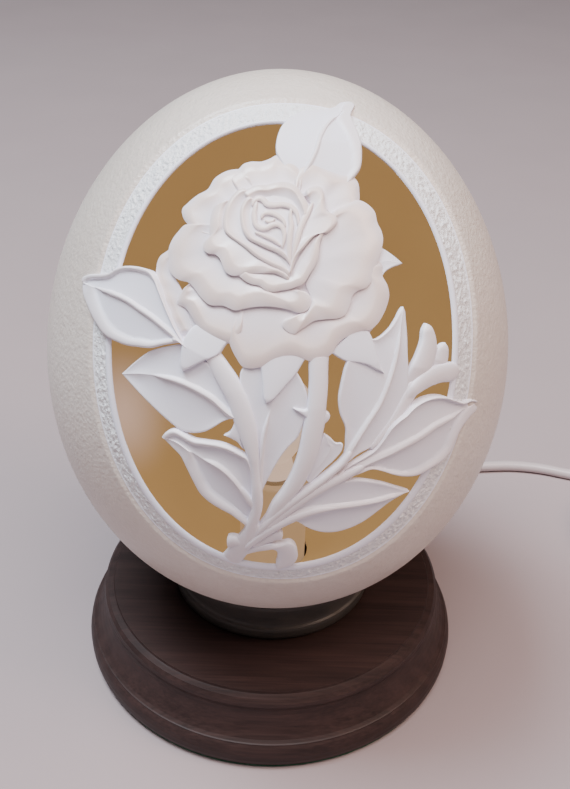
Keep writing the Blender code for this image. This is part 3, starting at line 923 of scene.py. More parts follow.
@dataclass(frozen=True)
class Branch:
    """A round stem, petiole or curl along a drawn path. Its ends are blunt, and no narrower than end_least."""

    name: str
    path: Line
    width: tuple[float, ...] = (2.0, 2.0)
    level: tuple[float, ...] = (-1.1, -1.1)
    crown: float = 0.5
    rows: int = 48
    columns: int = 13
    end_power: int = 16
    end_least: float = 0.05
    painted_light_lift_least: float = 0.3

    def surface(self, drawing: SettingOut) -> Surface:
        """The stem as a closed solid: a dome across the path, its width and level eased along it.

        Args:
            drawing: the plane that the path is drawn on.

        Returns:
            The closed surface.
        """
        path = spline(self.path, self.rows)
        along = np.linspace(0, 1, self.rows)
        step = np.gradient(path, axis=0)
        aside = np.stack([-step[:, 1], step[:, 0]], axis=1) / np.linalg.norm(step, axis=1, keepdims=True)
        width = np.interp(along, np.linspace(0, 1, len(self.width)), self.width)
        level = np.interp(along, np.linspace(0, 1, len(self.level)), self.level)[:, None]
        ends = np.sqrt(np.clip(1 - (2 * along - 1) ** self.end_power, 0, 1))
        across = np.sin(np.linspace(-math.pi / 2, math.pi / 2, self.columns))[None]
        half = (0.5 * width * np.maximum(ends, self.end_least))[:, None]
        drawn = path[:, None] + aside[:, None] * (across * half)[..., None]
        height = np.minimum(level + self.crown * np.sqrt(1 - across**2) * ends[:, None], 0.0)
        lift = self.painted_light_lift_least + (1 - self.painted_light_lift_least) * (height - level) / self.crown
        return relief(drawing, drawn, height, lift)


@dataclass(frozen=True)
class Petal:
    """A petal between its hidden root and its wavy, rolled rim, both drawn the same way round.

    Heights are millimetres above the shell's outside. The columns gather towards the rim as a power.
    """

    name: str
    rim: Line
    root: Line
    crest: float
    floor: float
    roll: float = 3.2
    roll_share: float = 0.6
    least_width: float = 0.1
    roll_power: float = 2.2
    drop: float = 0.6
    gather: float = 1.5
    fold: float = 0.06
    folds: float = 5.0
    fold_start: float = 0.7
    rise: float = 1.3
    tuck: float = 0.05
    rows: int = 110
    columns: int = 26

    def surface(self, drawing: SettingOut) -> Surface:
        """The petal as a closed solid down to the shell's inside.

        From root to rim the height climbs from floor to crest as a power of the share, then rolls over within
        the roll's width of the rim as another power. Soft folds ripple along the petal and fade at the root, and
        both ends sink to the floor, where they tuck under their neighbours.

        Args:
            drawing: the plane that the petal is drawn on.

        Returns:
            The closed surface.
        """
        rim, root = spline(self.rim, self.rows), spline(self.root, self.rows)
        along = np.linspace(0, 1, self.rows)[:, None]
        share = 1 - (1 - np.linspace(0, 1, self.columns)[None]) ** self.gather
        drawn = root[:, None] + (rim - root)[:, None] * share[..., None]
        reach = np.linalg.norm(rim - root, axis=-1)[:, None]
        wide = np.minimum(self.roll, self.roll_share * reach)
        climbed = np.minimum(1, share * reach / np.maximum(reach - wide, self.least_width))
        rolled = 1 - np.minimum(1, (1 - share) * reach / np.maximum(wide, self.least_width))
        height = self.floor + (self.crest - self.floor) * climbed**self.rise - self.drop * rolled**self.roll_power
        height = height + self.fold * np.sin(2 * math.pi * self.folds * along + self.fold_start) * ease(share * 1.5)
        tucked = ease(np.minimum(along, 1 - along) / self.tuck)
        height = self.floor + np.maximum(height - self.floor, 0) * tucked
        lift = (height - self.floor) / (self.crest - self.floor)
        return relief(drawing, drawn, np.minimum(height, 0.0), lift**1.5)


def carved_piece(
    name: str, members: tuple[Blade | Branch | Petal, ...], drawing: SettingOut, look: Look, crease: float = 50.0,
) -> bpy.types.Object:
    """Makes one piece of the openwork from its members.

    Args:
        name: the piece's name.
        members: the blades, branches or petals that it consists of.
        drawing: the plane that they are drawn on.
        look: its finish.
        crease: edges bent more than this many degrees stay sharp.

    Returns:
        The piece.
    """
    return add_piece(name, [m.surface(drawing) for m in members], [look.material()], ("eggshell",), crease=crease)


# The bloom's drawn members, from its lowest outer petals to the curls at its heart, and the shell behind.
PETALS = (
    Petal(
        "petal_back_left",
        ((-10, 50.5), (-13.2, 51.3), (-16.5, 50.7), (-18, 49.9), (-20, 48.4), (-22, 45.2), (-25, 43.3), (-27.5, 41.2),
         (-29.1, 39.2), (-28.8, 37), (-27.2, 34.6), (-25, 32)),
        ((-7, 45), (-9.5, 45), (-12, 44), (-15, 42), (-17.5, 39), (-18.5, 36), (-18.5, 33), (-18, 31)),
        crest=-1.05, floor=-1.75, folds=4,
    ),
    Petal(
        "petal_back_top",
        ((-16.5, 48), (-15, 50.2), (-13.2, 51.3), (-11.8, 52.7), (-9.5, 53.5), (-6.5, 53.7), (-4, 54.6), (-2.5, 55.5),
         (0, 55.3), (2.5, 54.2), (5, 52), (6, 49)),
        ((-12, 43), (-9, 44.5), (-6, 45), (-3, 45.5), (0, 46), (2, 46), (4, 45), (5, 44)),
        crest=-0.95, floor=-1.7, folds=4,
    ),
    Petal(
        "petal_back_right",
        ((3, 47), (3.4, 50), (4.2, 52.2), (6, 53.8), (8, 54.6), (10, 54), (12, 52.8), (14, 51.5), (16, 50.7),
         (20, 50.3), (21.6, 48.2), (22, 46), (22, 43), (20, 41)),
        ((4, 43), (5, 44.5), (7, 45), (9, 44), (11, 42.5), (12.5, 41), (13.5, 40), (14.5, 39)),
        crest=-0.85, floor=-1.7, folds=4,
    ),
    Petal(
        "petal_far_left",
        ((-30.5, 30), (-32.3, 27.7), (-35, 25.3), (-36, 21.1), (-35, 17.5), (-33, 12.5), (-31, 8.5), (-28, 3)),
        ((-29, 28), (-31, 25), (-31.4, 22), (-30.9, 20), (-29.4, 17.4), (-28.4, 15.4), (-27.5, 12), (-25, 4)),
        crest=-1.25, floor=-1.8, roll=2.0, drop=0.3,
    ),
    Petal(
        "petal_low_left",
        ((-26.7, 17.6), (-28.2, 15.6), (-29.5, 12), (-27, 10.8), (-25.5, 9), (-24, 6.5), (-22, 4), (-20, 2.9),
         (-17.5, 2), (-15, 1.3), (-13.9, 1.2), (-12, 2), (-10, 5)),
        ((-25, 18.5), (-25.5, 17.5), (-24, 16), (-22, 14), (-20, 12.8), (-16.5, 12.3), (-13, 11.5), (-10, 11.8)),
        crest=-0.75, floor=-1.7, folds=3,
    ),
    Petal(
        "petal_low",
        ((-14.2, 5), (-13.9, 1.2), (-12, -2.8), (-9.7, -5.5), (-8, -5.8), (-6, -5.6), (-4, -5), (-2, -3.8), (0, -2.8),
         (2, -2), (4, -1.7), (6, -2), (8, -2.8), (10.5, -3.2), (12.5, -2.8), (14, -2), (15.5, -0.8), (16.5, 1), (18, 3),
         (20, 4.3), (22, 5.3), (24, 6), (26.1, 6.3), (28, 7.8), (29.7, 10.4), (31, 13.8), (31.4, 16.5), (30.8, 19.2),
         (29.4, 21.8), (29.2, 25), (27.5, 28)),
        ((-13, 10), (-10, 12.5), (-7, 13), (-4, 13.5), (-1, 13.5), (2, 13), (5, 12), (8, 11), (11, 11), (14, 11.5),
         (17, 13), (19, 15.5), (20, 18), (22, 20.5), (24, 23), (25, 26)),
        crest=-0.7, floor=-1.8, roll=4.0, drop=0.5, folds=6, rows=170,
    ),
    Petal(
        "petal_left",
        ((-25, 33.5), (-27.2, 34.6), (-29.8, 32.3), (-31.3, 30), (-32.1, 27.5), (-32.1, 24.5), (-32, 22), (-31, 20.3),
         (-29, 18.8), (-26, 18), (-24.5, 16.5), (-22.5, 14), (-20, 12), (-16, 11.8), (-12.5, 10.6), (-10, 11.2),
         (-5, 12), (0, 11.8), (3, 11.2), (5.5, 10.5), (7.5, 11), (9, 13), (8.8, 15.2), (7.3, 16.6), (5, 16.2)),
        ((-19, 36), (-20, 34), (-20.5, 31.5), (-20.5, 29), (-19, 27), (-17, 24), (-14.5, 22), (-11, 20.5), (-8, 19.5),
         (-5, 18.5), (-2, 17.6), (1, 17.6), (3.5, 17.2), (5, 17)),
        crest=-0.45, floor=-1.5, roll=4.2, drop=0.5, folds=7, rows=170,
    ),
    Petal(
        "petal_right",
        ((13, 38.5), (15, 40), (17, 41), (22, 43), (24.9, 41.4), (26.2, 40), (27.2, 36.8), (28.5, 34.3), (28.9, 32.5),
         (28.6, 29.5), (27.2, 24), (26.3, 21), (25.6, 19.5), (24.5, 18.3), (22, 17.2), (20.8, 16), (20.2, 14),
         (19.6, 12), (18.7, 10.3), (17.5, 9.5), (16, 9.2), (13, 8.9), (10, 8.3), (8, 7), (6, 5.5), (4.8, 4.5),
         (3.5, 4.6), (2, 5.5), (1, 6.8), (1.6, 8.4), (4, 8.8)),
        ((11, 36.5), (11.6, 35), (11.9, 33), (11.3, 30.5), (11, 28), (10.3, 25.5), (9.4, 23), (8.2, 20.6), (7.5, 18.6),
         (8.2, 17), (9, 15), (9, 13), (8, 11.2), (6, 10.2)),
        crest=-0.38, floor=-1.4, roll=4.6, drop=0.45, folds=6, rows=180,
    ),
    Petal(
        "petal_front_low",
        ((-13, 20.8), (-11.5, 20.2), (-10, 19), (-8.5, 18.3), (-5.5, 17.6), (-4.5, 16.8), (-1.8, 16.2), (0, 16.6),
         (3, 17.2), (5, 18), (6.5, 18.7), (7.5, 20), (8.3, 21.5), (9.5, 23.5), (10.3, 25.5), (10.8, 28), (11, 30.5),
         (11.9, 33.3), (12, 35)),
        ((-10, 22.5), (-6, 22.8), (-2, 22.5), (1, 21.5), (2.8, 21.8), (4.2, 24), (5.5, 26.5), (7, 29), (8.8, 31.5),
         (10.5, 33.5), (11, 35)),
        crest=-0.28, floor=-1.2, roll=2.0, drop=0.35, folds=4,
    ),
    Petal(
        "petal_front_left",
        ((-17.5, 41.5), (-19.5, 39.5), (-20.3, 37), (-20.5, 34), (-20.6, 31), (-22, 29.5), (-22.2, 28), (-21, 26.6),
         (-18.5, 26.2), (-17.5, 25.3), (-16.5, 23.3), (-15.5, 21.4), (-14.5, 20.7), (-11.5, 20.6), (-10, 21),
         (-5, 21.3), (-1.5, 21.4), (0, 20.8), (2.3, 19.2), (3, 18.6)),
        ((-12.5, 43), (-15.2, 40), (-15.6, 36), (-15.3, 33.5), (-14, 32), (-11.5, 30.5), (-9, 28.8), (-6.5, 27),
         (-4, 25.5), (-2, 24), (0.2, 22.8), (2.5, 21.2), (3.2, 20)),
        crest=-0.12, floor=-1.0, roll=3.2, drop=0.4, folds=6, rows=130,
    ),
    Petal(
        "petal_cup_left",
        ((-9.5, 45.4), (-12.5, 44.7), (-14.6, 42.6), (-16.3, 39), (-16.7, 35), (-16.3, 33), (-15, 31.6), (-12.5, 29.9),
         (-10, 28.2), (-7.5, 26.2), (-5, 24.7), (-2.5, 23.5), (0, 22.4), (2.4, 20.5), (3.2, 19.6)),
        ((-8, 42.5), (-10, 41.5), (-11.2, 39.5), (-11.4, 36.5), (-11, 33.5), (-9.8, 31.8), (-7.8, 30.4), (-5.5, 29.2),
         (-3, 28), (-0.7, 26.6), (1.2, 25), (2.6, 23), (3.4, 21.5)),
        crest=-0.1, floor=-1.1, roll=1.1, drop=0.3, fold=0.03, rise=1.8,
    ),
    Petal(
        "petal_cup_back",
        ((-12, 43.2), (-10.5, 44.8), (-8, 46), (-5, 46.4), (-2, 47.1), (0, 47.4), (2, 47.1), (4, 46), (5.5, 44),
         (7, 41.5), (7.7, 39.6), (7.5, 37.8)),
        ((-8.6, 40.8), (-7.5, 42), (-5.5, 42.8), (-3.5, 43), (-1, 43), (1, 42.7), (2.8, 41.8), (4, 40.4), (4.8, 38.6),
         (5.2, 37)),
        crest=-0.12, floor=-1.1, roll=1.8, drop=0.35, fold=0.04, rise=1.6,
    ),
    Petal(
        "petal_cup_middle",
        ((-8.6, 43.6), (-10.6, 42.2), (-11.8, 40), (-11.9, 36), (-11, 33), (-9.5, 31), (-7, 29.7), (-4, 28.4),
         (-1, 27.2), (1.5, 25.4), (3, 23.2)),
        ((-6.8, 41.2), (-8, 40), (-8.6, 37.8), (-8.5, 35.5), (-7.7, 33.6), (-6.2, 32.3), (-4.3, 31.4), (-2.3, 30.4),
         (-0.3, 29.2), (1.2, 27.6), (2.6, 25.5)),
        crest=-0.1, floor=-1.15, roll=1.0, drop=0.3, fold=0.02, rise=1.8,
    ),
    Petal(
        "petal_folded",
        ((2.9, 20.3), (3.4, 23), (4.2, 25.7), (5.2, 27.6), (6.6, 29.2), (8, 31), (9.5, 32.5), (11, 33.2), (13, 33.5),
         (14.5, 34.8), (15.6, 37), (14.7, 38.6), (12.7, 39.6), (11.8, 42), (11.4, 45), (10.5, 46.2), (9, 46.5),
         (7, 45.6), (5.6, 44)),
        ((2.3, 20.8), (2.4, 23.5), (2.6, 26), (3, 28.5), (3.6, 31), (4.4, 33), (5.3, 35), (6.3, 36.8), (7.4, 38.3),
         (8.2, 39.6), (8.3, 41), (7.6, 42.6), (6.6, 43.6)),
        crest=-0.05, floor=-0.95, roll=1.6, drop=0.35, fold=0.05, folds=4, rise=1.2,
    ),
)
HEART = Blade(
    "rose_heart",
    ((2.5, 21.5), (-1, 26.5), (-5, 29.5), (-8.5, 32), (-10, 36), (-9.5, 40), (-7, 43), (-3, 44.3)),
    ((3.2, 21.5), (5, 27), (7.5, 31), (9, 35), (9, 39), (6.5, 42.5), (2, 44.3), (-3, 44.3)),
    level=(-0.95, -0.95), hollow=0.1, rows=60,
)
CURLS = (
    Branch(
        "curl_outer",
        ((-8.7, 40.2), (-8.2, 41.7), (-7, 42.5), (-5.6, 42.2), (-4.6, 41.1), (-2.5, 40.8), (0, 41), (2, 40.6),
         (3.6, 39.4), (4.4, 37.4), (4.6, 35)),
        (0.9, 1.8, 1.6, 1.5, 0.7), (-0.68, -0.62, -0.68), 0.3,
    ),
    Branch(
        "curl_left",
        ((-7.3, 41.8), (-7.9, 39.5), (-8, 37), (-7.4, 35), (-6, 34.1), (-4.5, 34.2), (-3, 35), (-1.4, 35.3), (0, 34.6),
         (0.7, 32.8), (0.6, 30.6), (0.2, 28.6)),
        (0.9, 1.6, 1.6, 1.5, 1.4, 0.7), (-0.68, -0.62, -0.68), 0.3,
    ),
    Branch(
        "curl_inner",
        ((-6, 36.7), (-5.6, 38), (-4.2, 38.6), (-2.6, 38.4), (-1, 37.6), (0.3, 36.4), (0.9, 34.6)),
        (0.8, 1.5, 1.4, 0.7), (-0.68, -0.64, -0.68), 0.28,
    ),
    Branch(
        "curl_middle",
        ((-5, 36.4), (-4, 36), (-2.8, 36.3), (-2, 37)),
        (0.6, 1.1, 0.6), (-0.7, -0.7), 0.28, rows=20,
    ),
    Branch(
        "curl_right",
        ((2.6, 40.6), (2.2, 38), (2.6, 35.4), (2.3, 32.5), (2.2, 29.5), (2.4, 26.5), (2.7, 23.6)),
        (0.7, 1.5, 1.7, 1.5, 0.7), (-0.68, -0.62, -0.68), 0.3,
    ),
    Branch(
        "curl_fold",
        ((8.6, 42), (7.5, 39.6), (6.2, 37), (5.2, 34.4), (4.5, 31.6), (3.8, 28.4), (3.2, 25)),
        (0.8, 1.8, 1.8, 1.5, 0.7), (-0.55, -0.48, -0.58), 0.32,
    ),
    Branch(
        "curl_low",
        ((-7.8, 33), (-6, 32.4), (-4, 31.7), (-1.8, 30.6), (0, 29.2)),
        (0.6, 1.2, 1.2, 0.6), (-0.7, -0.65), 0.3, rows=30,
    ),
)
BACK = Blade(
    "rose_back",
    ((0, -2), (-8, -3.5), (-12.5, 1.8), (-17, 2.4), (-22, 0.2), (-27, 0.4), (-30, 4), (-30.5, 9), (-29.3, 14),
     (-28.2, 15.8), (-26.7, 17.8), (-28.5, 21), (-29.8, 25), (-28, 31), (-25, 38), (-20, 45), (-13, 49.5), (-4, 52.5)),
    ((3, -1), (9, -1), (15, -0.6), (21, 1.2), (27, 6), (29.8, 13), (28, 22), (26.5, 30), (25, 38), (20, 45), (15, 49),
     (7, 52), (-4, 52.5)),
    level=(-1.95, -1.95), hollow=0.0, edge_drop=0.0, rows=50,
)


@dataclass
class Rose:
    """The bloom, from its lowest outer petals to the curls at its heart."""

    drawing: SettingOut = SettingOut()
    petals: tuple[Petal, ...] = PETALS
    heart: Blade = HEART
    curls: tuple[Branch, ...] = CURLS
    back: Blade = BACK

    def build(self) -> list[bpy.types.Object]:
        """Makes one piece for each petal, one for the heart with its curls, and one for the shell behind them.

        Returns:
            The pieces.
        """
        made = [carved_piece(petal.name, (petal,), self.drawing, Look.PETAL) for petal in self.petals]
        made.append(carved_piece("rose_heart", (self.heart, *self.curls), self.drawing, Look.PETAL))
        return made + [carved_piece("rose_back", (self.back,), self.drawing, Look.PETAL, crease=40)]


# The drawn members round the bloom.
LEAVES = (
    Blade(
        "leaf_crown",
        ((3, 48), (-0.5, 53), (-2.4, 56.2), (-2.3, 59.4), (-1.1, 62.6), (0.8, 64.9), (4.2, 66.9), (8.9, 67.7),
         (12, 68.1), (14, 68.8), (14.9, 69.7), (16.3, 70.1)),
        ((19, 48), (21.9, 52.2), (21.9, 56), (20.4, 61.2), (18.8, 64.6), (18.2, 66.3), (18.8, 67.8), (19.2, 69),
         (18.2, 69.9), (16.3, 70.1)),
        ((5, 49), (8.9, 56.3), (9.9, 60.1), (11.3, 62.8), (12.8, 64.5), (14.6, 65.9), (16.2, 69.1)),
        level=(-1.5, 0.2), settle=0.45, ceiling=0.5, hollow=0.25, rib_width=(1.5, 1.1), rib_height=0.4, rib_end=0.86,
        roll_right=(1.6, 4.6), roll_height=0.64,
    ),
    Blade(
        "leaf_high_left",
        ((-27, 1), (-29.5, 5.5), (-31.2, 9.3), (-32.7, 13), (-33.8, 16), (-35, 19), (-36.6, 21), (-38.5, 21.7),
         (-41, 22.1), (-43.5, 22), (-45, 21.5), (-47.5, 20), (-50, 19.6), (-52, 19.5), (-53.8, 19.1), (-54.9, 18.3),
         (-55.1, 17)),
        ((-25.5, -0.5), (-28, 0.8), (-30, 0.6), (-33, 0), (-36, -0.8), (-40, -0.6), (-43, -0.2), (-45, 0.5),
         (-48.6, 2.5), (-51, 5.8), (-53.3, 10.3), (-54.7, 13.8), (-55.1, 15.6), (-55.1, 17)),
        ((-26.2, 0), (-28, 1.4), (-30, 3.2), (-33, 5.7), (-36, 8.1), (-39, 10.1), (-42, 12.2), (-46, 14), (-50, 15.3),
         (-54.6, 16.8)),
        level=(-1.1, 0.35), settle=0.75, ceiling=0.9, hollow=0.3, roll_left=(0.8, 1.6), roll_right=(1.4, 4.2),
        rib_width=(2.0, 1.2), rib_height=0.65, rib_end=0.9,
    ),
    Blade(
        "leaf_middle_left",
        ((-12, -15.5), (-15, -11), (-19, -6), (-23, -2.5), (-28.3, 0.3), (-31, -0.1), (-34, -0.8), (-36.8, -1.8),
         (-40.5, -4.6), (-44.6, -8.5)),
        ((-11.5, -20), (-13.5, -20.6), (-15, -21.2), (-17.5, -22.8), (-20, -24.2), (-24, -24.8), (-27, -24.2),
         (-29.5, -22.6), (-33, -19.8), (-37, -16.2), (-41, -12.3), (-44.6, -8.5)),
        ((-11.5, -20), (-13.5, -18.8), (-15.5, -17.2), (-18, -15), (-21, -13.2), (-24, -11.7), (-27.5, -10.3),
         (-31, -9.3), (-35, -8.6), (-40, -8.3), (-44.4, -8.5)),
        level=(-1.15, -1.1), hollow=0.45, rib_width=(2.5, 1.0), rib_height=0.65, rib_end=0.76,
    ),
    Blade(
        "leaf_centre",
        ((-4.4, -42), (-5, -34), (-6.4, -26), (-8.6, -18), (-10.4, -12), (-10.6, -7), (-8, -3)),
        ((-3.8, -42), (-0.6, -35.3), (1.8, -31), (4, -28), (6.4, -25.4), (7.8, -22), (9.2, -16), (8.6, -12),
         (7.5, -9.5), (5.7, -6.6), (2, -3)),
        ((-4.1, -42), (-3.9, -36), (-3.6, -30), (-3, -24), (-2, -19), (-1, -15.5), (-0.5, -11), (-1.5, -3)),
        level=(-1.25, -1.5), hollow=0.3, rib_width=(1.7, 1.0), rib_height=0.6, rib_end=0.62,
    ),
    Blade(
        "leaf_tall_right",
        ((19.4, -32), (20.4, -28), (20.4, -24.6), (20.4, -22.5), (18.6, -18), (18, -13.5), (18.5, -10), (19.7, -4),
         (21.5, 1), (24.5, 3.4), (28.2, 3.8), (30.3, 5.3), (32, 7.1), (33.5, 9.5), (34.9, 12.4), (35.5, 13.3)),
        ((20.4, -32.6), (24, -29.4), (28, -27), (31, -24), (34, -20.5), (36, -17), (37.2, -14), (37.7, -10), (37.7, -5),
         (37.3, 0), (37, 5), (36.4, 10), (36.1, 12.2), (35.5, 13.3)),
        ((19.8, -32.2), (21.5, -28.6), (23.5, -25.2), (26.5, -20), (29.5, -15), (31.5, -10), (33, -5), (34, 0),
         (34.6, 5), (35.2, 10), (35.5, 13.1)),
        level=(-1.2, -0.95), hollow=0.45, rib_width=(1.8, 1.0), rib_height=0.65, rib_end=0.88,
    ),
    Blade(
        "leaf_low_right",
        ((4, -46.4), (7, -43.6), (10, -41.2), (15.5, -38.4), (20, -37.2), (23.3, -36.5), (28, -36.7), (32, -37.3),
         (36, -38.3), (38.9, -39)),
        ((4.6, -48.2), (7.5, -49.2), (10.5, -50.8), (14, -51.7), (18, -51.6), (22, -50.4), (26, -48.3), (30, -45.2),
         (33.5, -42.3), (36.8, -40.2), (38.9, -39)),
        ((4.2, -47.6), (10, -45.7), (15, -44.7), (20, -43.9), (25, -43), (30, -41.8), (34, -40.4), (38.6, -39.1)),
        level=(-1.15, -0.8), rib_width=(1.8, 1.2), rib_height=0.70, rib_end=0.97,
    ),
    Blade(
        "leaf_rolled_right",
        ((18.5, -35), (21.5, -32.4), (25, -30), (28.5, -27.3), (30.5, -24.5), (32.5, -21), (34.5, -18.7), (36.5, -17),
         (38.5, -14.8), (41, -13), (44, -11.8), (47.5, -11.6), (50, -12.3), (52.4, -12.9), (54.6, -12), (56.6, -12.3)),
        ((20, -37), (25, -34.6), (28.5, -33.2), (31, -33.6), (34, -34.4), (37, -34.7), (40.3, -34.2), (44, -32),
         (47, -30), (49.5, -27), (50.7, -24), (52.3, -20.5), (54.7, -17), (56.6, -14.6), (56.6, -12.3)),
        ((19.2, -36), (25, -32.5), (29, -30.2), (33, -28), (37, -25.5), (41, -23), (45, -20), (49, -17.6), (53, -14.9),
         (56.3, -12.7)),
        level=(-1.7, -0.3), settle=0.5, ceiling=0.3, hollow=0.45, rib_width=(2.5, 1.4), rib_height=0.70, rib_end=0.9,
        roll_right=(0.9, 2.6), roll_left=(0.5, 0.9), roll_height=0.72,
    ),
    Blade(
        "leaf_rolled_left",
        ((-4.6, -41), (-5.9, -37), (-6.6, -33), (-7.5, -31), (-10, -29.5), (-13, -28.1), (-16, -27.3), (-20, -26.8),
         (-23.2, -26.3), (-26, -24.9), (-29, -23.7), (-31.2, -24.6), (-32.3, -26)),
        ((-7.5, -50.5), (-9.8, -48.9), (-12, -47.4), (-15, -45.9), (-18.5, -43.8), (-21, -41.5), (-22.8, -38.5),
         (-24.8, -34.8), (-26.8, -31.2), (-29.5, -28.6), (-32.3, -26)),
        ((-5, -45.4), (-6.5, -43.4), (-9, -40.5), (-12, -37), (-14.5, -34.8), (-17.2, -33.1), (-20, -32), (-24, -29.6),
         (-28, -27), (-32, -26)),
        level=(-1.2, -0.75), hollow=0.56, rib_width=(1.6, 1.2), rib_height=0.65, rib_end=0.62, roll_left=(1.1, 1.9),
        roll_right=(1.6, 4.6), roll_height=0.80,
    ),
    Blade(
        "leaf_small",
        ((9.6, -37.5), (10.4, -34), (11.2, -31.5), (12.5, -28.5), (14.2, -23.9)),
        ((10.8, -38), (14.5, -34), (17.5, -31), (19.5, -28), (19.6, -26.6), (17.8, -26.6), (16.2, -25.2),
         (14.2, -23.9)),
        level=(-1.35, -1.2), hollow=0.24, rows=40,
    ),
)
SEPALS = (
    Blade(
        "sepal_left",
        ((-23, 7), (-25.5, 4.6), (-27.1, 1.4), (-27.5, -2), (-27.7, -5), (-27, -7.1)),
        ((-13.6, 2.5), (-15.4, 0.2), (-17, -2.2), (-18.5, -3), (-21, -4), (-22.5, -4.8), (-25, -6.2), (-27, -7.1)),
        level=(-1.6, -0.4), settle=0.5, crown=0.3, hollow=0.0, edge_drop=0.3, rows=40,
    ),
    Blade(
        "sepal_centre",
        ((-6, -2), (-4.9, -5.5), (-4.2, -10), (-3.5, -14.4), (-2.9, -15.5)),
        ((10, -0.5), (8, -2.8), (5.5, -7), (3, -10), (0.5, -13), (-1.5, -14.9), (-2.9, -15.5)),
        level=(-1.5, -0.75), crown=0.3, hollow=0.0, edge_drop=0.3, rows=40,
    ),
    Blade(
        "sepal_right_low",
        ((15, -0.5), (20, -3), (23, -3.2), (26, -3.8), (28, -4.8), (30.6, -5.9)),
        ((24, 8), (26.4, 5.4), (27.8, 2), (28.8, -1.5), (29.6, -4), (30.6, -5.9)),
        level=(-1.5, -0.75), crown=0.25, hollow=0.0, edge_drop=0.3, rows=40,
    ),
    Blade(
        "sepal_right_tip",
        ((26, 31), (28.8, 30.1), (31.5, 28.5), (34.2, 26.4), (35.1, 25.6)),
        ((27, 20), (29.4, 21.8), (30.2, 23), (32, 24.3), (34.2, 25.2), (35.1, 25.6)),
        level=(-1.4, -1.1), hollow=0.1, rows=30,
    ),
)
BUD = (
    Blade(
        "bud_front",
        ((36.6, -9), (38.3, -3.8), (40, 0), (41.2, 4), (41.5, 7), (42.3, 8.8)),
        ((41, -10), (43.4, -5.6), (45, -1.5), (45.5, 2.7), (45.2, 4.6), (44.6, 6.5), (43.5, 8.2), (42.3, 8.8)),
        level=(-2.1, -1.2), settle=0.3, crown=0.7, hollow=0.0, edge_drop=0.1, rows=44,
    ),
    Blade(
        "bud_side",
        ((43, -4), (45.2, -0.5), (46, 1.8), (47.2, 3.2), (48, 3.5)),
        ((47, -6), (48.5, -3), (49, 0), (48.8, 2.2), (48, 3.5)),
        level=(-2.1, -1.3), settle=0.35, crown=0.5, hollow=0.0, edge_drop=0.1, rows=30,
    ),
    Blade(
        "bud_sepal",
        ((35.8, -13.5), (38.4, -8.6), (41, -5.8), (44, -3.6), (47, -2.5), (50.5, -2.2), (51.5, -3.4)),
        ((36.6, -16.4), (38.5, -13), (41, -10.9), (44.5, -8.8), (47, -7.9), (49.8, -7.4), (51.5, -5.6), (51.5, -3.4)),
        level=(-2.1, -0.95), settle=0.25, crown=0.7, hollow=0.0, edge_drop=0.1, rows=44,
    ),
)
STEMS = (
    Blade(
        "stem_main",
        ((-8, -54), (-4.6, -51), (-2.4, -48.2), (-0.2, -43.7), (2.5, -39.9), (4.8, -35.5), (6.5, -30.5), (7.4, -26),
         (8, -22), (8.7, -18), (9.2, -13), (9.3, -8.8), (9.1, -5), (9, -2.4)),
        ((-5, -55), (-1, -51), (2.2, -46.6), (5, -43), (8.4, -38.6), (10.5, -34.7), (12, -31), (13, -27.5), (13.8, -23),
         (14.3, -20), (14.4, -17), (14.8, -10), (14.8, -4), (14.9, -1.6)),
        level=(-1.6, -1.1, -1.1, -1.2, -1.9), crown=1.0, hollow=0.0, edge_drop=0.1, rows=90,
    ),
    Blade(
        "stem_left",
        ((-9, -55), (-7.6, -50), (-6.1, -45.6), (-6.2, -41), (-6.5, -36), (-7.2, -32), (-9, -28), (-10.6, -24.5),
         (-12.2, -20.5), (-14, -15.4), (-17, -10.6), (-20.6, -4.5), (-22.5, -1)),
        ((-6, -55.5), (-4, -50), (-2.9, -45), (-3.2, -40), (-4, -35), (-4.4, -30), (-4.9, -25), (-5.9, -20.6),
         (-7.6, -16), (-9.5, -12), (-11.7, -8.2), (-14.5, -4.5), (-16.6, -1.7), (-18, 1)),
        level=(-1.3, -1.05, -1.1, -1.3, -2.0), crown=1.0, hollow=0.0, edge_drop=0.1, rows=90,
    ),
    Blade(
        "thorn_left",
        ((-9, -29), (-11, -26.8), (-12.6, -26), (-14.8, -25.2)),
        ((-11.6, -20), (-12.2, -22.4), (-13, -24), (-14.8, -25.2)),
        level=(-1.2, -1.1), crown=0.4, hollow=0.0, rows=20,
    ),
    Blade(
        "thorn_middle",
        ((9.6, -21), (8.2, -18.9), (6.8, -18), (4.9, -16.7)),
        ((9.8, -15.8), (8.4, -17), (6.6, -16.9), (4.9, -16.7)),
        level=(-1.0, -0.9), crown=0.35, hollow=0.0, rows=20,
    ),
    Blade(
        "thorn_right",
        ((13.6, -15.8), (14.6, -17.4), (15.2, -17.7), (15.7, -18.5)),
        ((13.4, -21.6), (14.4, -20.8), (15.3, -19.8), (15.7, -18.5)),
        level=(-1.2, -1.2), crown=0.4, hollow=0.0, rows=20,
    ),
    Blade(
        "curled_foot_leaf",
        ((-9, -57.2), (-7.4, -56.9), (-5, -56.1), (-2.5, -55.4), (-0.4, -55.2), (1.8, -55.2), (3.6, -54.9),
         (5.1, -54.6), (6.5, -55.3), (7.4, -56.9), (7.6, -58.4), (7.1, -59.8), (5.9, -60.8), (4.0, -61.4),
         (2.2, -62.2)),
        ((-8.6, -59), (-7.4, -58.6), (-5, -57.7), (-2, -57), (0.2, -56.7), (1.4, -57.1), (1.9, -58.2), (1.7, -59.8),
         (1.4, -61), (1.5, -61.8), (2.2, -62.2)),
        level=(-0.95, -0.8), crown=0.6, hollow=0.0, edge_drop=0.1, rows=70,
    ),
)
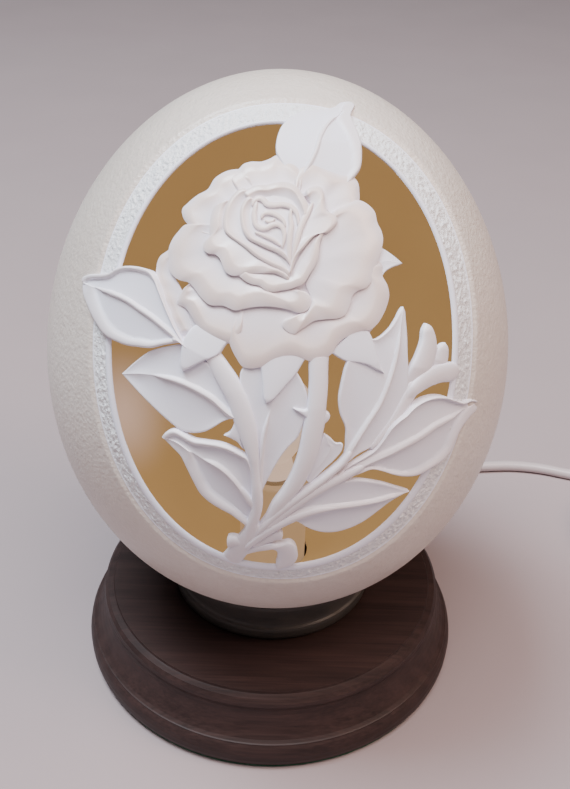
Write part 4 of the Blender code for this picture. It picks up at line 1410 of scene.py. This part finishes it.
BRANCHES = (
    Branch(
        "stalk_tall_right",
        ((-5, -53), (0, -47.8), (5, -43.6), (11, -38.9), (16, -34.9), (20, -31), (22, -27.8)),
        (1.8, 2.0, 1.9, 1.8, 1.6), (-0.85, -0.85, -0.9), 0.75,
    ),
    Branch(
        "stalk_rolled_right",
        ((-3.5, -52.4), (1, -48.6), (5.5, -45), (10, -41.6), (15, -38.4), (20, -35.6), (26, -32)),
        (1.6, 2.0, 2.2, 2.2, 1.8), (-1.0, -1.0, -1.05), 0.75,
    ),
    Branch(
        "stalk_low_right",
        ((-7.6, -56.4), (-4, -53.6), (0, -50.8), (5, -48.1), (10, -46.1), (15, -44.8), (20, -43.9)),
        (1.8, 2.0, 2.0, 1.7, 0.8), (-0.6, -0.65, -0.85, -1.0), 0.7,
    ),
    Branch(
        "stalk_rolled_left",
        ((-6.5, -52), (-5.8, -48.6), (-5.2, -45.2), (-7.4, -42.4), (-10, -39.4)),
        (2.0, 2.2, 1.9, 1.5), (-0.9, -1.0, -1.05), 0.55,
    ),
    Branch(
        "stalk_foot",
        ((-3.5, -50), (-6, -53), (-7.9, -55.6), (-9.6, -58), (-11.8, -60.6), (-14, -62)),
        (5.0, 4.8, 5.0, 5.2, 4.4), (-1.1, -1.0, -1.05, -1.2, -1.9), 0.65,
    ),
    Branch(
        "knob",
        ((-7.5, -55.6), (-9.4, -55.2), (-11.2, -55), (-12.7, -55.2)),
        (2.4, 2.4, 2.8, 2.9), (-1.3, -0.95), 0.8, rows=30,
    ),
    Branch(
        "foot_lobe",
        ((-5.4, -56), (-2.6, -54.8), (-0.4, -53.7), (1.4, -52.9), (3.2, -52.7)),
        (1.2, 1.8, 2.0, 2.5, 2.3), (-1.15, -0.95), 0.55, rows=30,
    ),
    Branch(
        "stalk_bud",
        ((27.5, -27.8), (31, -23.4), (34.2, -19), (36.6, -15), (38.4, -11.6), (40, -8)),
        (1.2, 1.8, 2.2, 3.0, 3.6), (-1.4, -1.25), 0.5,
    ),
)


@dataclass
class Foliage:
    """The leaves, sepals, bud and stems round the bloom."""

    drawing: SettingOut = SettingOut()
    leaves: tuple[Blade, ...] = LEAVES
    sepals: tuple[Blade, ...] = SEPALS
    bud: tuple[Blade, ...] = BUD
    stems: tuple[Blade, ...] = STEMS
    branches: tuple[Branch, ...] = BRANCHES

    def build(self) -> list[bpy.types.Object]:
        """Makes one piece for each leaf and sepal, one for the bud, and one for the stems.

        Returns:
            The pieces.
        """
        made = [carved_piece(b.name, (b,), self.drawing, Look.CARVED) for b in self.leaves + self.sepals]
        made.append(carved_piece("rose_bud", self.bud, self.drawing, Look.CARVED, crease=60))
        return made + [
            carved_piece("rose_stems", (*self.stems, *self.branches), self.drawing, Look.CARVED, crease=60),
        ]


# ---------------------------------------------------------------- stand, fitting, cord


@dataclass
class LampStand:
    """The turned base, its felt and the ring that the egg sits in. Profiles run down their outer side."""

    base_line: Line = (
        (50.1, 23.7), (50.4, 23.1), (50.9, 22.95), (52.2, 22.7), (53.1, 21.6), (53.25, 20.4), (52.95, 19.0),
        (53.05, 17.2), (53.5, 15.4), (54.2, 13.4), (55.1, 11.6), (56.1, 10.2), (56.9, 9.5), (57.3, 9.3),
        (57.35, 9.0), (57.9, 8.3), (58.4, 7.1), (58.7, 5.4), (58.62, 3.4), (58.3, 2.0), (57.5, 1.3),
    )
    base_points: int = 150
    ring_line: Line = (
        (27.2, 37.0), (27.6, 37.2), (30.1, 37.2), (30.6, 36.8), (30.6, 35.6), (30.3, 34.2), (30.0, 32.4),
        (29.85, 30.6), (29.95, 29.4), (30.2, 28.8), (30.8, 28.4), (31.0, 27.6), (31.0, 25.8), (30.7, 24.7),
        (30.0, 24.0), (24.7, 24.0), (24.5, 24.3), (24.5, 32.6), (25.6, 34.6),
    )
    ring_points: int = 130
    felt_radius: float = 57.7
    felt_height: float = 1.0
    felt_edge: Line = ((0.98, 1.0), (0.995, 0.9), (1.0, 0.6), (1.0, 0.35), (0.995, 0.1), (0.98, 0.0))
    felt_margin: float = 0.12
    felt_wander: float = 0.1
    felt_grains: tuple[int, int] = (140, 4)
    felt_seed: int = 3
    steps: int = 288
    crease: float = 32.0

    def build(self) -> list[bpy.types.Object]:
        """Turns the base, the ring and the felt.

        Returns:
            The three pieces.
        """
        base = lathe(subdivided(self.base_line, self.base_points) * MM, self.steps)
        ring = lathe_ring(
            subdivided((*self.ring_line, self.ring_line[0]), self.ring_points)[:-1] * MM, self.steps,
        )
        return [
            add_piece("turned_base", [base], [Look.MAHOGANY.material()], ("wooden_base",), crease=self.crease),
            add_piece("metal_ring", [ring], [Look.BRONZE.material()], ("support_ring",), crease=self.crease),
            add_piece("felt_disc", [self.felt()], [Look.FELT.material()], ("felt_pad",)),
        ]

    def felt(self) -> Surface:
        """The felt: a disc whose edge wanders by a tenth of a millimetre with smooth grains."""
        edge = np.array(self.felt_edge)
        wander = self.felt_wander * grains((self.steps, len(edge)), self.felt_grains, self.felt_seed).T
        radius = self.felt_radius * edge[:, :1] - self.felt_margin + wander
        return tube(turned(radius, self.felt_height * edge[:, 1:], self.steps) * MM)


@dataclass
class LampFitting:
    """The candle socket in its card sleeve, the nut under it, and the bulb. Profiles run down their outer side."""

    well_line: Line = ((4.0, 41.0), (6.6, 41.2), (6.9, 41.8), (6.9, 63.5))
    sleeve_line: Line = (
        (7.2, 64.1), (7.6, 64.5), (9.8, 64.5), (10.2, 64.1), (10.2, 27.6), (10.4, 27.0), (11.6, 25.9), (11.7, 25.4),
        (11.7, 24.3), (11.4, 24.0), (5.2, 24.0), (4.9, 23.7), (4.9, 6.0), (4.5, 5.4),
    )
    sleeve_rounding: float = 0.25
    nut_radius: float = 9.0
    nut_face_radius: float = 8.2
    nut_chamfer: float = 0.3
    nut_height: float = 3.5
    nut_middle: float = 9.95
    nut_bore: float = 5.5
    nut_steps: int = 72
    cap_foot: Line = ((1.9, 41.4), (2.2, 41.6), (3.2, 48.2), (4.6, 48.7))
    cap_radius: float = 5.7
    cap_low: float = 49.0
    cap_high: float = 64.4
    cap_points: int = 90
    thread_depth: float = 0.28
    thread_pitch: float = 2.3
    thread_low: float = 49.5
    thread_high: float = 63.5
    glass_radius: float = 11.0
    glass_neck: float = 5.9
    glass_foot: float = 64.8
    glass_top: float = 97.0
    glass_powers: tuple[float, float] = (0.62, 0.75)
    steps: int = 96

    def build(self) -> list[bpy.types.Object]:
        """Makes the socket, the nut, the cap and the glass.

        Returns:
            The four pieces.
        """
        sleeve = lathe(rounded((*self.well_line, *self.sleeve_line), self.sleeve_rounding)[::-1], self.steps)
        return [
            add_piece("socket_sleeve", [sleeve], [Look.SLEEVE.material()], ("lamp_socket",)),
            add_piece("hexagon_nut", [self.nut()], [Look.BRASS.material()], ("socket_nut",), crease=25),
            add_piece("screw_cap", [self.cap()], [Look.NICKEL.material()], ("bulb_cap",)),
            add_piece("frosted_glass", [self.glass()], [Look.FROSTED.material()], ("bulb_glass",)),
        ]

    def nut(self) -> Surface:
        """A hexagon nut: the flats' distance over the cosine of the turn within each sixth, its bore round."""
        turn, side = full_turn(self.nut_steps), math.pi / 3
        flat = self.nut_radius * math.cos(side / 2) / np.cos((turn + side / 2) % side - side / 2)
        face, bore = np.minimum(flat, self.nut_face_radius), self.nut_bore + 0 * turn
        half, edge = self.nut_height / 2, self.nut_height / 2 - self.nut_chamfer
        levels = np.array([half, edge, -edge, -half, -half, half])[:, None] + self.nut_middle
        return ring_surface(turned(np.stack([face, flat, flat, face, bore, bore]), levels, self.nut_steps) * MM)

    def cap(self) -> Surface:
        """The bulb's screw cap: a turned thimble whose radius ripples with its height as the thread does."""
        height = np.linspace(self.cap_low, self.cap_high, self.cap_points)
        ripple = self.thread_depth * np.sin(2 * math.pi * (height - self.cap_low) / self.thread_pitch)
        radius = self.cap_radius + ripple * ease(height - self.thread_low) * ease(self.thread_high - height)
        line = np.concatenate([np.array(self.cap_foot), np.stack([radius, height], axis=1)])
        return lathe(line[::-1] * MM, self.steps)

    def glass(self) -> Surface:
        """The bulb: its radius is the greatest radius times a sine of the share down, both raised to a power."""
        down = np.concatenate([np.geomspace(0.002, 0.1, 14)[:-1], np.linspace(0.1, 1, 50)])
        bulge = self.glass_radius * np.sin(math.pi * down ** self.glass_powers[0]) ** self.glass_powers[1]
        height = self.glass_top - (self.glass_top - self.glass_foot) * down
        return lathe(np.stack([np.maximum(bulge, self.glass_neck * down), height], axis=1) * MM, self.steps)


@dataclass
class MainsCord:
    """The cord from the base to its plug, with its strain relief, its tie and its coil.

    A row of plug_sections is a share of the plug's length and the shares of its width and height there.
    """

    lead: Line = (
        (0, 36, 6.5), (0, 48, 6.5), (0, 60, 6.5), (0, 72, 6.5), (0, 83, 6.3), (3, 94, 4.2), (11, 102.5, 2.3),
        (23, 104.5, 2), (36, 99, 2), (48, 91.5, 2), (60, 86.5, 2), (71, 86, 2), (82, 87.2, 2), (93, 88.3, 2),
        (104, 87.4, 2), (116.5, 84, 2), (127, 81.1, 2.3), (138, 78.2, 2.8),
    )
    lead_points: int = 40
    tail: Line = ((175, 30.4, 6.2), (175, 25, 6.1), (175, 18, 6.3), (175, 12.5, 6.5), (175, 8.4, 6.5))
    tail_points: int = 6
    cord_points: int = 1300
    cord_sides: int = 20
    radius: float = 2.0
    exit: Triple = (0.0, 0.0587, 0.0065)
    coil_centre: tuple[float, float] = (147, 47)
    entry_turn: float = math.atan2(27, 7.3)
    cells: tuple[tuple[float, float], ...] = (
        (28, 2.8), (24, 2.8), (20, 2.8), (16, 2.8), (16, 6.8), (16, 10.8), (20, 10.8), (20, 6.8), (24, 6.8),
        (24, 10.8), (28, 10.8), (28, 6.8),
    )
    turn_points: int = 36
    bushing_start: float = 59.0
    bushing_level: float = 6.5
    bushing_rounding: float = 0.12
    bushing_sides: int = 48
    bushing_line: Line = (
        (2.3, 0.0), (5.0, 0.0), (5.2, 0.2), (5.2, 1.5), (4.9, 1.7), (3.95, 1.8), (3.9, 3.0), (3.3, 3.2), (3.3, 4.2),
        (3.75, 4.4), (3.7, 5.6), (3.15, 5.8), (3.15, 6.8), (3.6, 7.0), (3.5, 8.2), (3.05, 8.4), (3.05, 9.4),
        (3.4, 9.6), (3.35, 10.8), (2.95, 11.0), (2.95, 12.0), (3.25, 12.2), (3.15, 13.4), (2.9, 13.6), (2.9, 14.6),
        (3.05, 14.8), (3.0, 18.0), (2.95, 21.6), (2.75, 22.0), (2.3, 22.0),
    )
    plug_place: tuple[float, float] = (175, 9)
    plug_size: Triple = (25, 27, 13)
    plug_power: float = 4.5
    plug_sides: int = 72
    plug_sections: Line = (
        (0.0, 0.33, 0.50), (0.1, 0.34, 0.52), (0.22, 0.56, 0.76), (0.38, 0.86, 0.95), (0.5, 0.99, 0.99),
        (0.97, 1.0, 1.0), (0.985, 0.99, 0.99), (0.995, 0.96, 0.95), (1.0, 0.9, 0.85),
    )
    plug_nose: tuple[float, ...] = (0.86, 0.95, 0.99)
    groove_places: tuple[float, ...] = (0.58, 0.68, 0.78)
    groove_width: float = 0.018
    groove_depth: float = 0.7
    tie_turn: float = math.radians(-100)
    tie_power: float = 9.0
    tie_sides: int = 96
    tie_half: tuple[float, float] = (8.62, 6.32)
    tie_middle: tuple[float, float] = (22, 6.8)
    tie_section: Line = (
        (0, -2.3), (0.05, -2.5), (0.45, -2.5), (0.5, -2.3), (0.5, 2.3), (0.45, 2.5), (0.05, 2.5), (0, 2.3),
    )

    def route(self) -> Array:
        """The cord's line in metres: the lead, the wound turns and the tail.

        In the coil the radius and height ease from one cell of the bundle to the next over the last and first
        fifth of each turn.

        Returns:
            Points by 3 array.
        """
        lead = spline(self.lead, self.lead_points)
        swept = np.arange(1, round((len(self.cells) - 1 + self.entry_turn / (2 * math.pi)) * self.turn_points) + 1)
        swept = swept / self.turn_points
        before = np.clip(np.floor(swept - 0.5).astype(int), 0, len(self.cells) - 2)
        shift = ease((swept - 0.5 - before) * 2.5 - 0.75)[:, None]
        cells = np.asarray(self.cells, float)
        radius, height = (cells[before] * (1 - shift) + cells[before + 1] * shift).T
        turn = self.entry_turn - 2 * math.pi * swept
        coil = np.stack([
            self.coil_centre[0] + radius * np.cos(turn), self.coil_centre[1] + radius * np.sin(turn), height,
        ], axis=-1)
        return np.concatenate([lead, coil[:-1], spline(self.tail, self.tail_points)]) * MM

    def around(self, line: Array, radius: float, sides: int) -> Surface:
        """A tube round a line that never climbs steeply: circles across the line, squared to its direction.

        Args:
            line: points by 3 array in metres.
            radius: the tube's radius in metres.
            sides: points on each circle.

        Returns:
            The closed surface.
        """
        ahead = np.gradient(line, axis=0)
        ahead /= np.linalg.norm(ahead, axis=1, keepdims=True)
        aside = np.cross(ahead, [0.0, 0.0, 1.0])
        aside /= np.linalg.norm(aside, axis=1, keepdims=True)
        above = np.cross(aside, ahead)
        turn = full_turn(sides)[None, :, None]
        return tube(line[:, None] + radius * (np.cos(turn) * aside[:, None] + np.sin(turn) * above[:, None]))

    def bushing(self) -> Surface:
        """The strain relief: a ribbed, tapering closed profile carried round the cord's axis, which runs along +Y."""
        line = rounded((*self.bushing_line, self.bushing_line[0]), self.bushing_rounding, 3)[:-1] / MM
        across, level, reach = np.moveaxis(turned(line[:, :1], line[:, 1:], self.bushing_sides), -1, 0)
        return ring_surface(np.stack([across, self.bushing_start + reach, self.bushing_level + level], axis=-1) * MM)

    def plug(self) -> Surface:
        """The plug's moulded body: rounded rectangles along its length, with three finger grooves on each side.

        Each section is a superellipse; its half width and half height follow the length and shrink at the nose
        where the cord goes in, and three narrow bell curves press the grooves in.

        Returns:
            The closed surface.
        """
        width, length, height = self.plug_size
        along = np.concatenate([[0, 0.004, 0.015, 0.03], np.linspace(0.05, 0.97, 60), [0.985, 0.995, 1.0]])
        stations, *shares = np.array(self.plug_sections).T
        half = np.stack([np.interp(along, stations, share) for share in shares], axis=1) * (width / 2, height / 2)
        bells = np.exp(-((along[:, None] - np.array(self.groove_places)) / self.groove_width) ** 2)
        half[:, 0] -= self.groove_depth * bells.sum(axis=1)
        half[:len(self.plug_nose)] *= np.array(self.plug_nose)[:, None]
        sides = half[:, None] * squared_circle(full_turn(self.plug_sides), self.plug_power)
        x, z = self.plug_place[0] + sides[..., 0], height / 2 + sides[..., 1]
        y = (self.plug_place[1] - length * along)[:, None] + 0 * x
        return tube(np.stack([x, y, z], axis=-1) * MM)

    def tie(self) -> Surface:
        """The tie: a rounded rectangle round the bundle, as a flat band half a millimetre thick."""
        section = np.array(self.tie_section)[None]
        ring = squared_circle(full_turn(self.tie_sides), self.tie_power)
        out = ring[:, None] * (np.array(self.tie_half) + section[..., :1])
        beside = section[..., 1] + 0 * out[..., 0]
        away = self.tie_middle[0] + out[..., 0]
        x = self.coil_centre[0] + away * math.cos(self.tie_turn) - beside * math.sin(self.tie_turn)
        y = self.coil_centre[1] + away * math.sin(self.tie_turn) + beside * math.cos(self.tie_turn)
        return ring_surface(np.stack([x, y, self.tie_middle[1] + out[..., 1]], axis=-1) * MM)

    def build(self) -> list[bpy.types.Object]:
        """Returns:
            The pieces.
        """
        route = self.route()
        fine = spline(tuple(map(tuple, route)), self.cord_points)
        cord = add_piece(
            "mains_cord", [self.around(fine, self.radius * MM, self.cord_sides)], [Look.CORD.material()],
            ("cord_lead", "cord_coil", "cord_tail"), crease=60,
        )
        bushing = add_piece("strain_relief", [self.bushing()], [Look.PLUG.material()], ("cord_bushing",), crease=50)
        plug = add_piece("moulded_plug", [self.plug()], [Look.PLUG.material()], ("plug_body",), crease=50)
        tie = add_piece("coil_band", [self.tie()], [Look.TIE.material()], ("coil_tie",), crease=35)
        blades = [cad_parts["plug_blade_left"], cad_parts["plug_blade_right"]]
        for blade in blades:
            blade.data.materials.clear()
            blade.data.materials.append(Look.BRASS.material())
        return [cord, bushing, plug, tie]


# ---------------------------------------------------------------- studio


@dataclass(frozen=True)
class SoftLight:
    """A square area light: where it is, what it faces, its side in metres, its power and its colour."""

    name: str
    place: Triple
    target: Triple
    side: float
    power: float
    colour: Triple


@dataclass
class Studio:
    """The pale floor, the soft lights, the pale surroundings and the camera at the photo's angle.

    The focal length and the long side are in the photo's pixels, and the film's long side in millimetres.
    """

    eye: Triple = EYE
    tilt: float = TILT
    lean: float = math.radians(1.9)
    focal: float = 1100.0
    long_side: float = 789.0
    film: float = 36.0
    floor_half: float = 4.0
    surroundings: Triple = (0.80, 0.77, 0.78)
    surroundings_strength: float = 0.10
    lights: tuple[SoftLight, ...] = (
        SoftLight("window_light", (-0.35, 0.02, 1.13), (0, 0, 0.11), 0.45, 20.0, (0.76, 0.90, 1.0)),
        SoftLight("room_light", (0.68, -0.22, 0.9), (0, 0, 0.11), 0.5, 7.2, (1.0, 0.74, 0.60)),
        SoftLight("top_light", (0, -0.38, 1.15), (0, 0, 0.1), 0.6, 12.0, (1.0, 0.93, 0.93)),
    )

    def build(self) -> None:
        """Lays the floor and sets the lights, the surroundings and the camera."""
        half = self.floor_half
        mesh = bpy.data.meshes.new("floor")
        mesh.from_pydata([(-half, -half, 0), (half, -half, 0), (half, half, 0), (-half, half, 0)], [], [(0, 1, 2, 3)])
        mesh.materials.append(Look.FLOOR.material())
        floor = bpy.data.objects.new("floor", mesh)
        bpy.context.scene.collection.objects.link(floor)
        for light in self.lights:
            self.hang(light)
        world = bpy.data.worlds.new("pale_room")
        world.use_nodes = True
        background = world.node_tree.nodes["Background"]
        background.inputs["Color"].default_value = (*self.surroundings, 1)
        background.inputs["Strength"].default_value = self.surroundings_strength
        bpy.context.scene.world = world
        self.camera()

    def hang(self, light: SoftLight) -> None:
        """Adds one square area light that faces its target."""
        data = bpy.data.lights.new(light.name, "AREA")
        data.shape = "SQUARE"
        data.size = light.side
        data.energy = light.power
        data.color = light.colour
        lamp = bpy.data.objects.new(light.name, data)
        toward = Vector(light.target) - Vector(light.place)
        lamp.matrix_world = Matrix.Translation(light.place) @ toward.to_track_quat("-Z", "Y").to_matrix().to_4x4()
        bpy.context.scene.collection.objects.link(lamp)

    def camera(self) -> None:
        """Sets the camera: its line of sight dips by the tilt, and its sides lean by the lean about it."""
        data = bpy.data.cameras.new("photo_view")
        data.lens = self.film * self.focal / self.long_side
        data.sensor_width = self.film
        data.clip_start = 0.01
        ahead = Vector((0, math.cos(self.tilt), -math.sin(self.tilt)))
        up = Vector((0, math.sin(self.tilt), math.cos(self.tilt)))
        side = Vector((1, 0, 0)) * math.cos(self.lean) + up * math.sin(self.lean)
        over = up * math.cos(self.lean) - Vector((1, 0, 0)) * math.sin(self.lean)
        facing = Matrix((side, over, -ahead)).transposed().to_4x4()
        view = bpy.data.objects.new("photo_view", data)
        view.matrix_world = Matrix.Translation(Vector(self.eye) * MM) @ facing
        bpy.context.scene.collection.objects.link(view)
        bpy.context.scene.camera = view


def main() -> None:
    """Builds the studio and each sub-assembly in order."""
    logging.basicConfig(level=logging.INFO, format="%(message)s", stream=sys.stdout)
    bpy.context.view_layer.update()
    Studio().build()
    for part in (MainsCord(), LampStand(), LampFitting(), EggShell(), Rose(), Foliage()):
        made = part.build()
        log.info("%s: %d pieces", type(part).__name__, len(made))


if __name__ == "__main__":
    main()
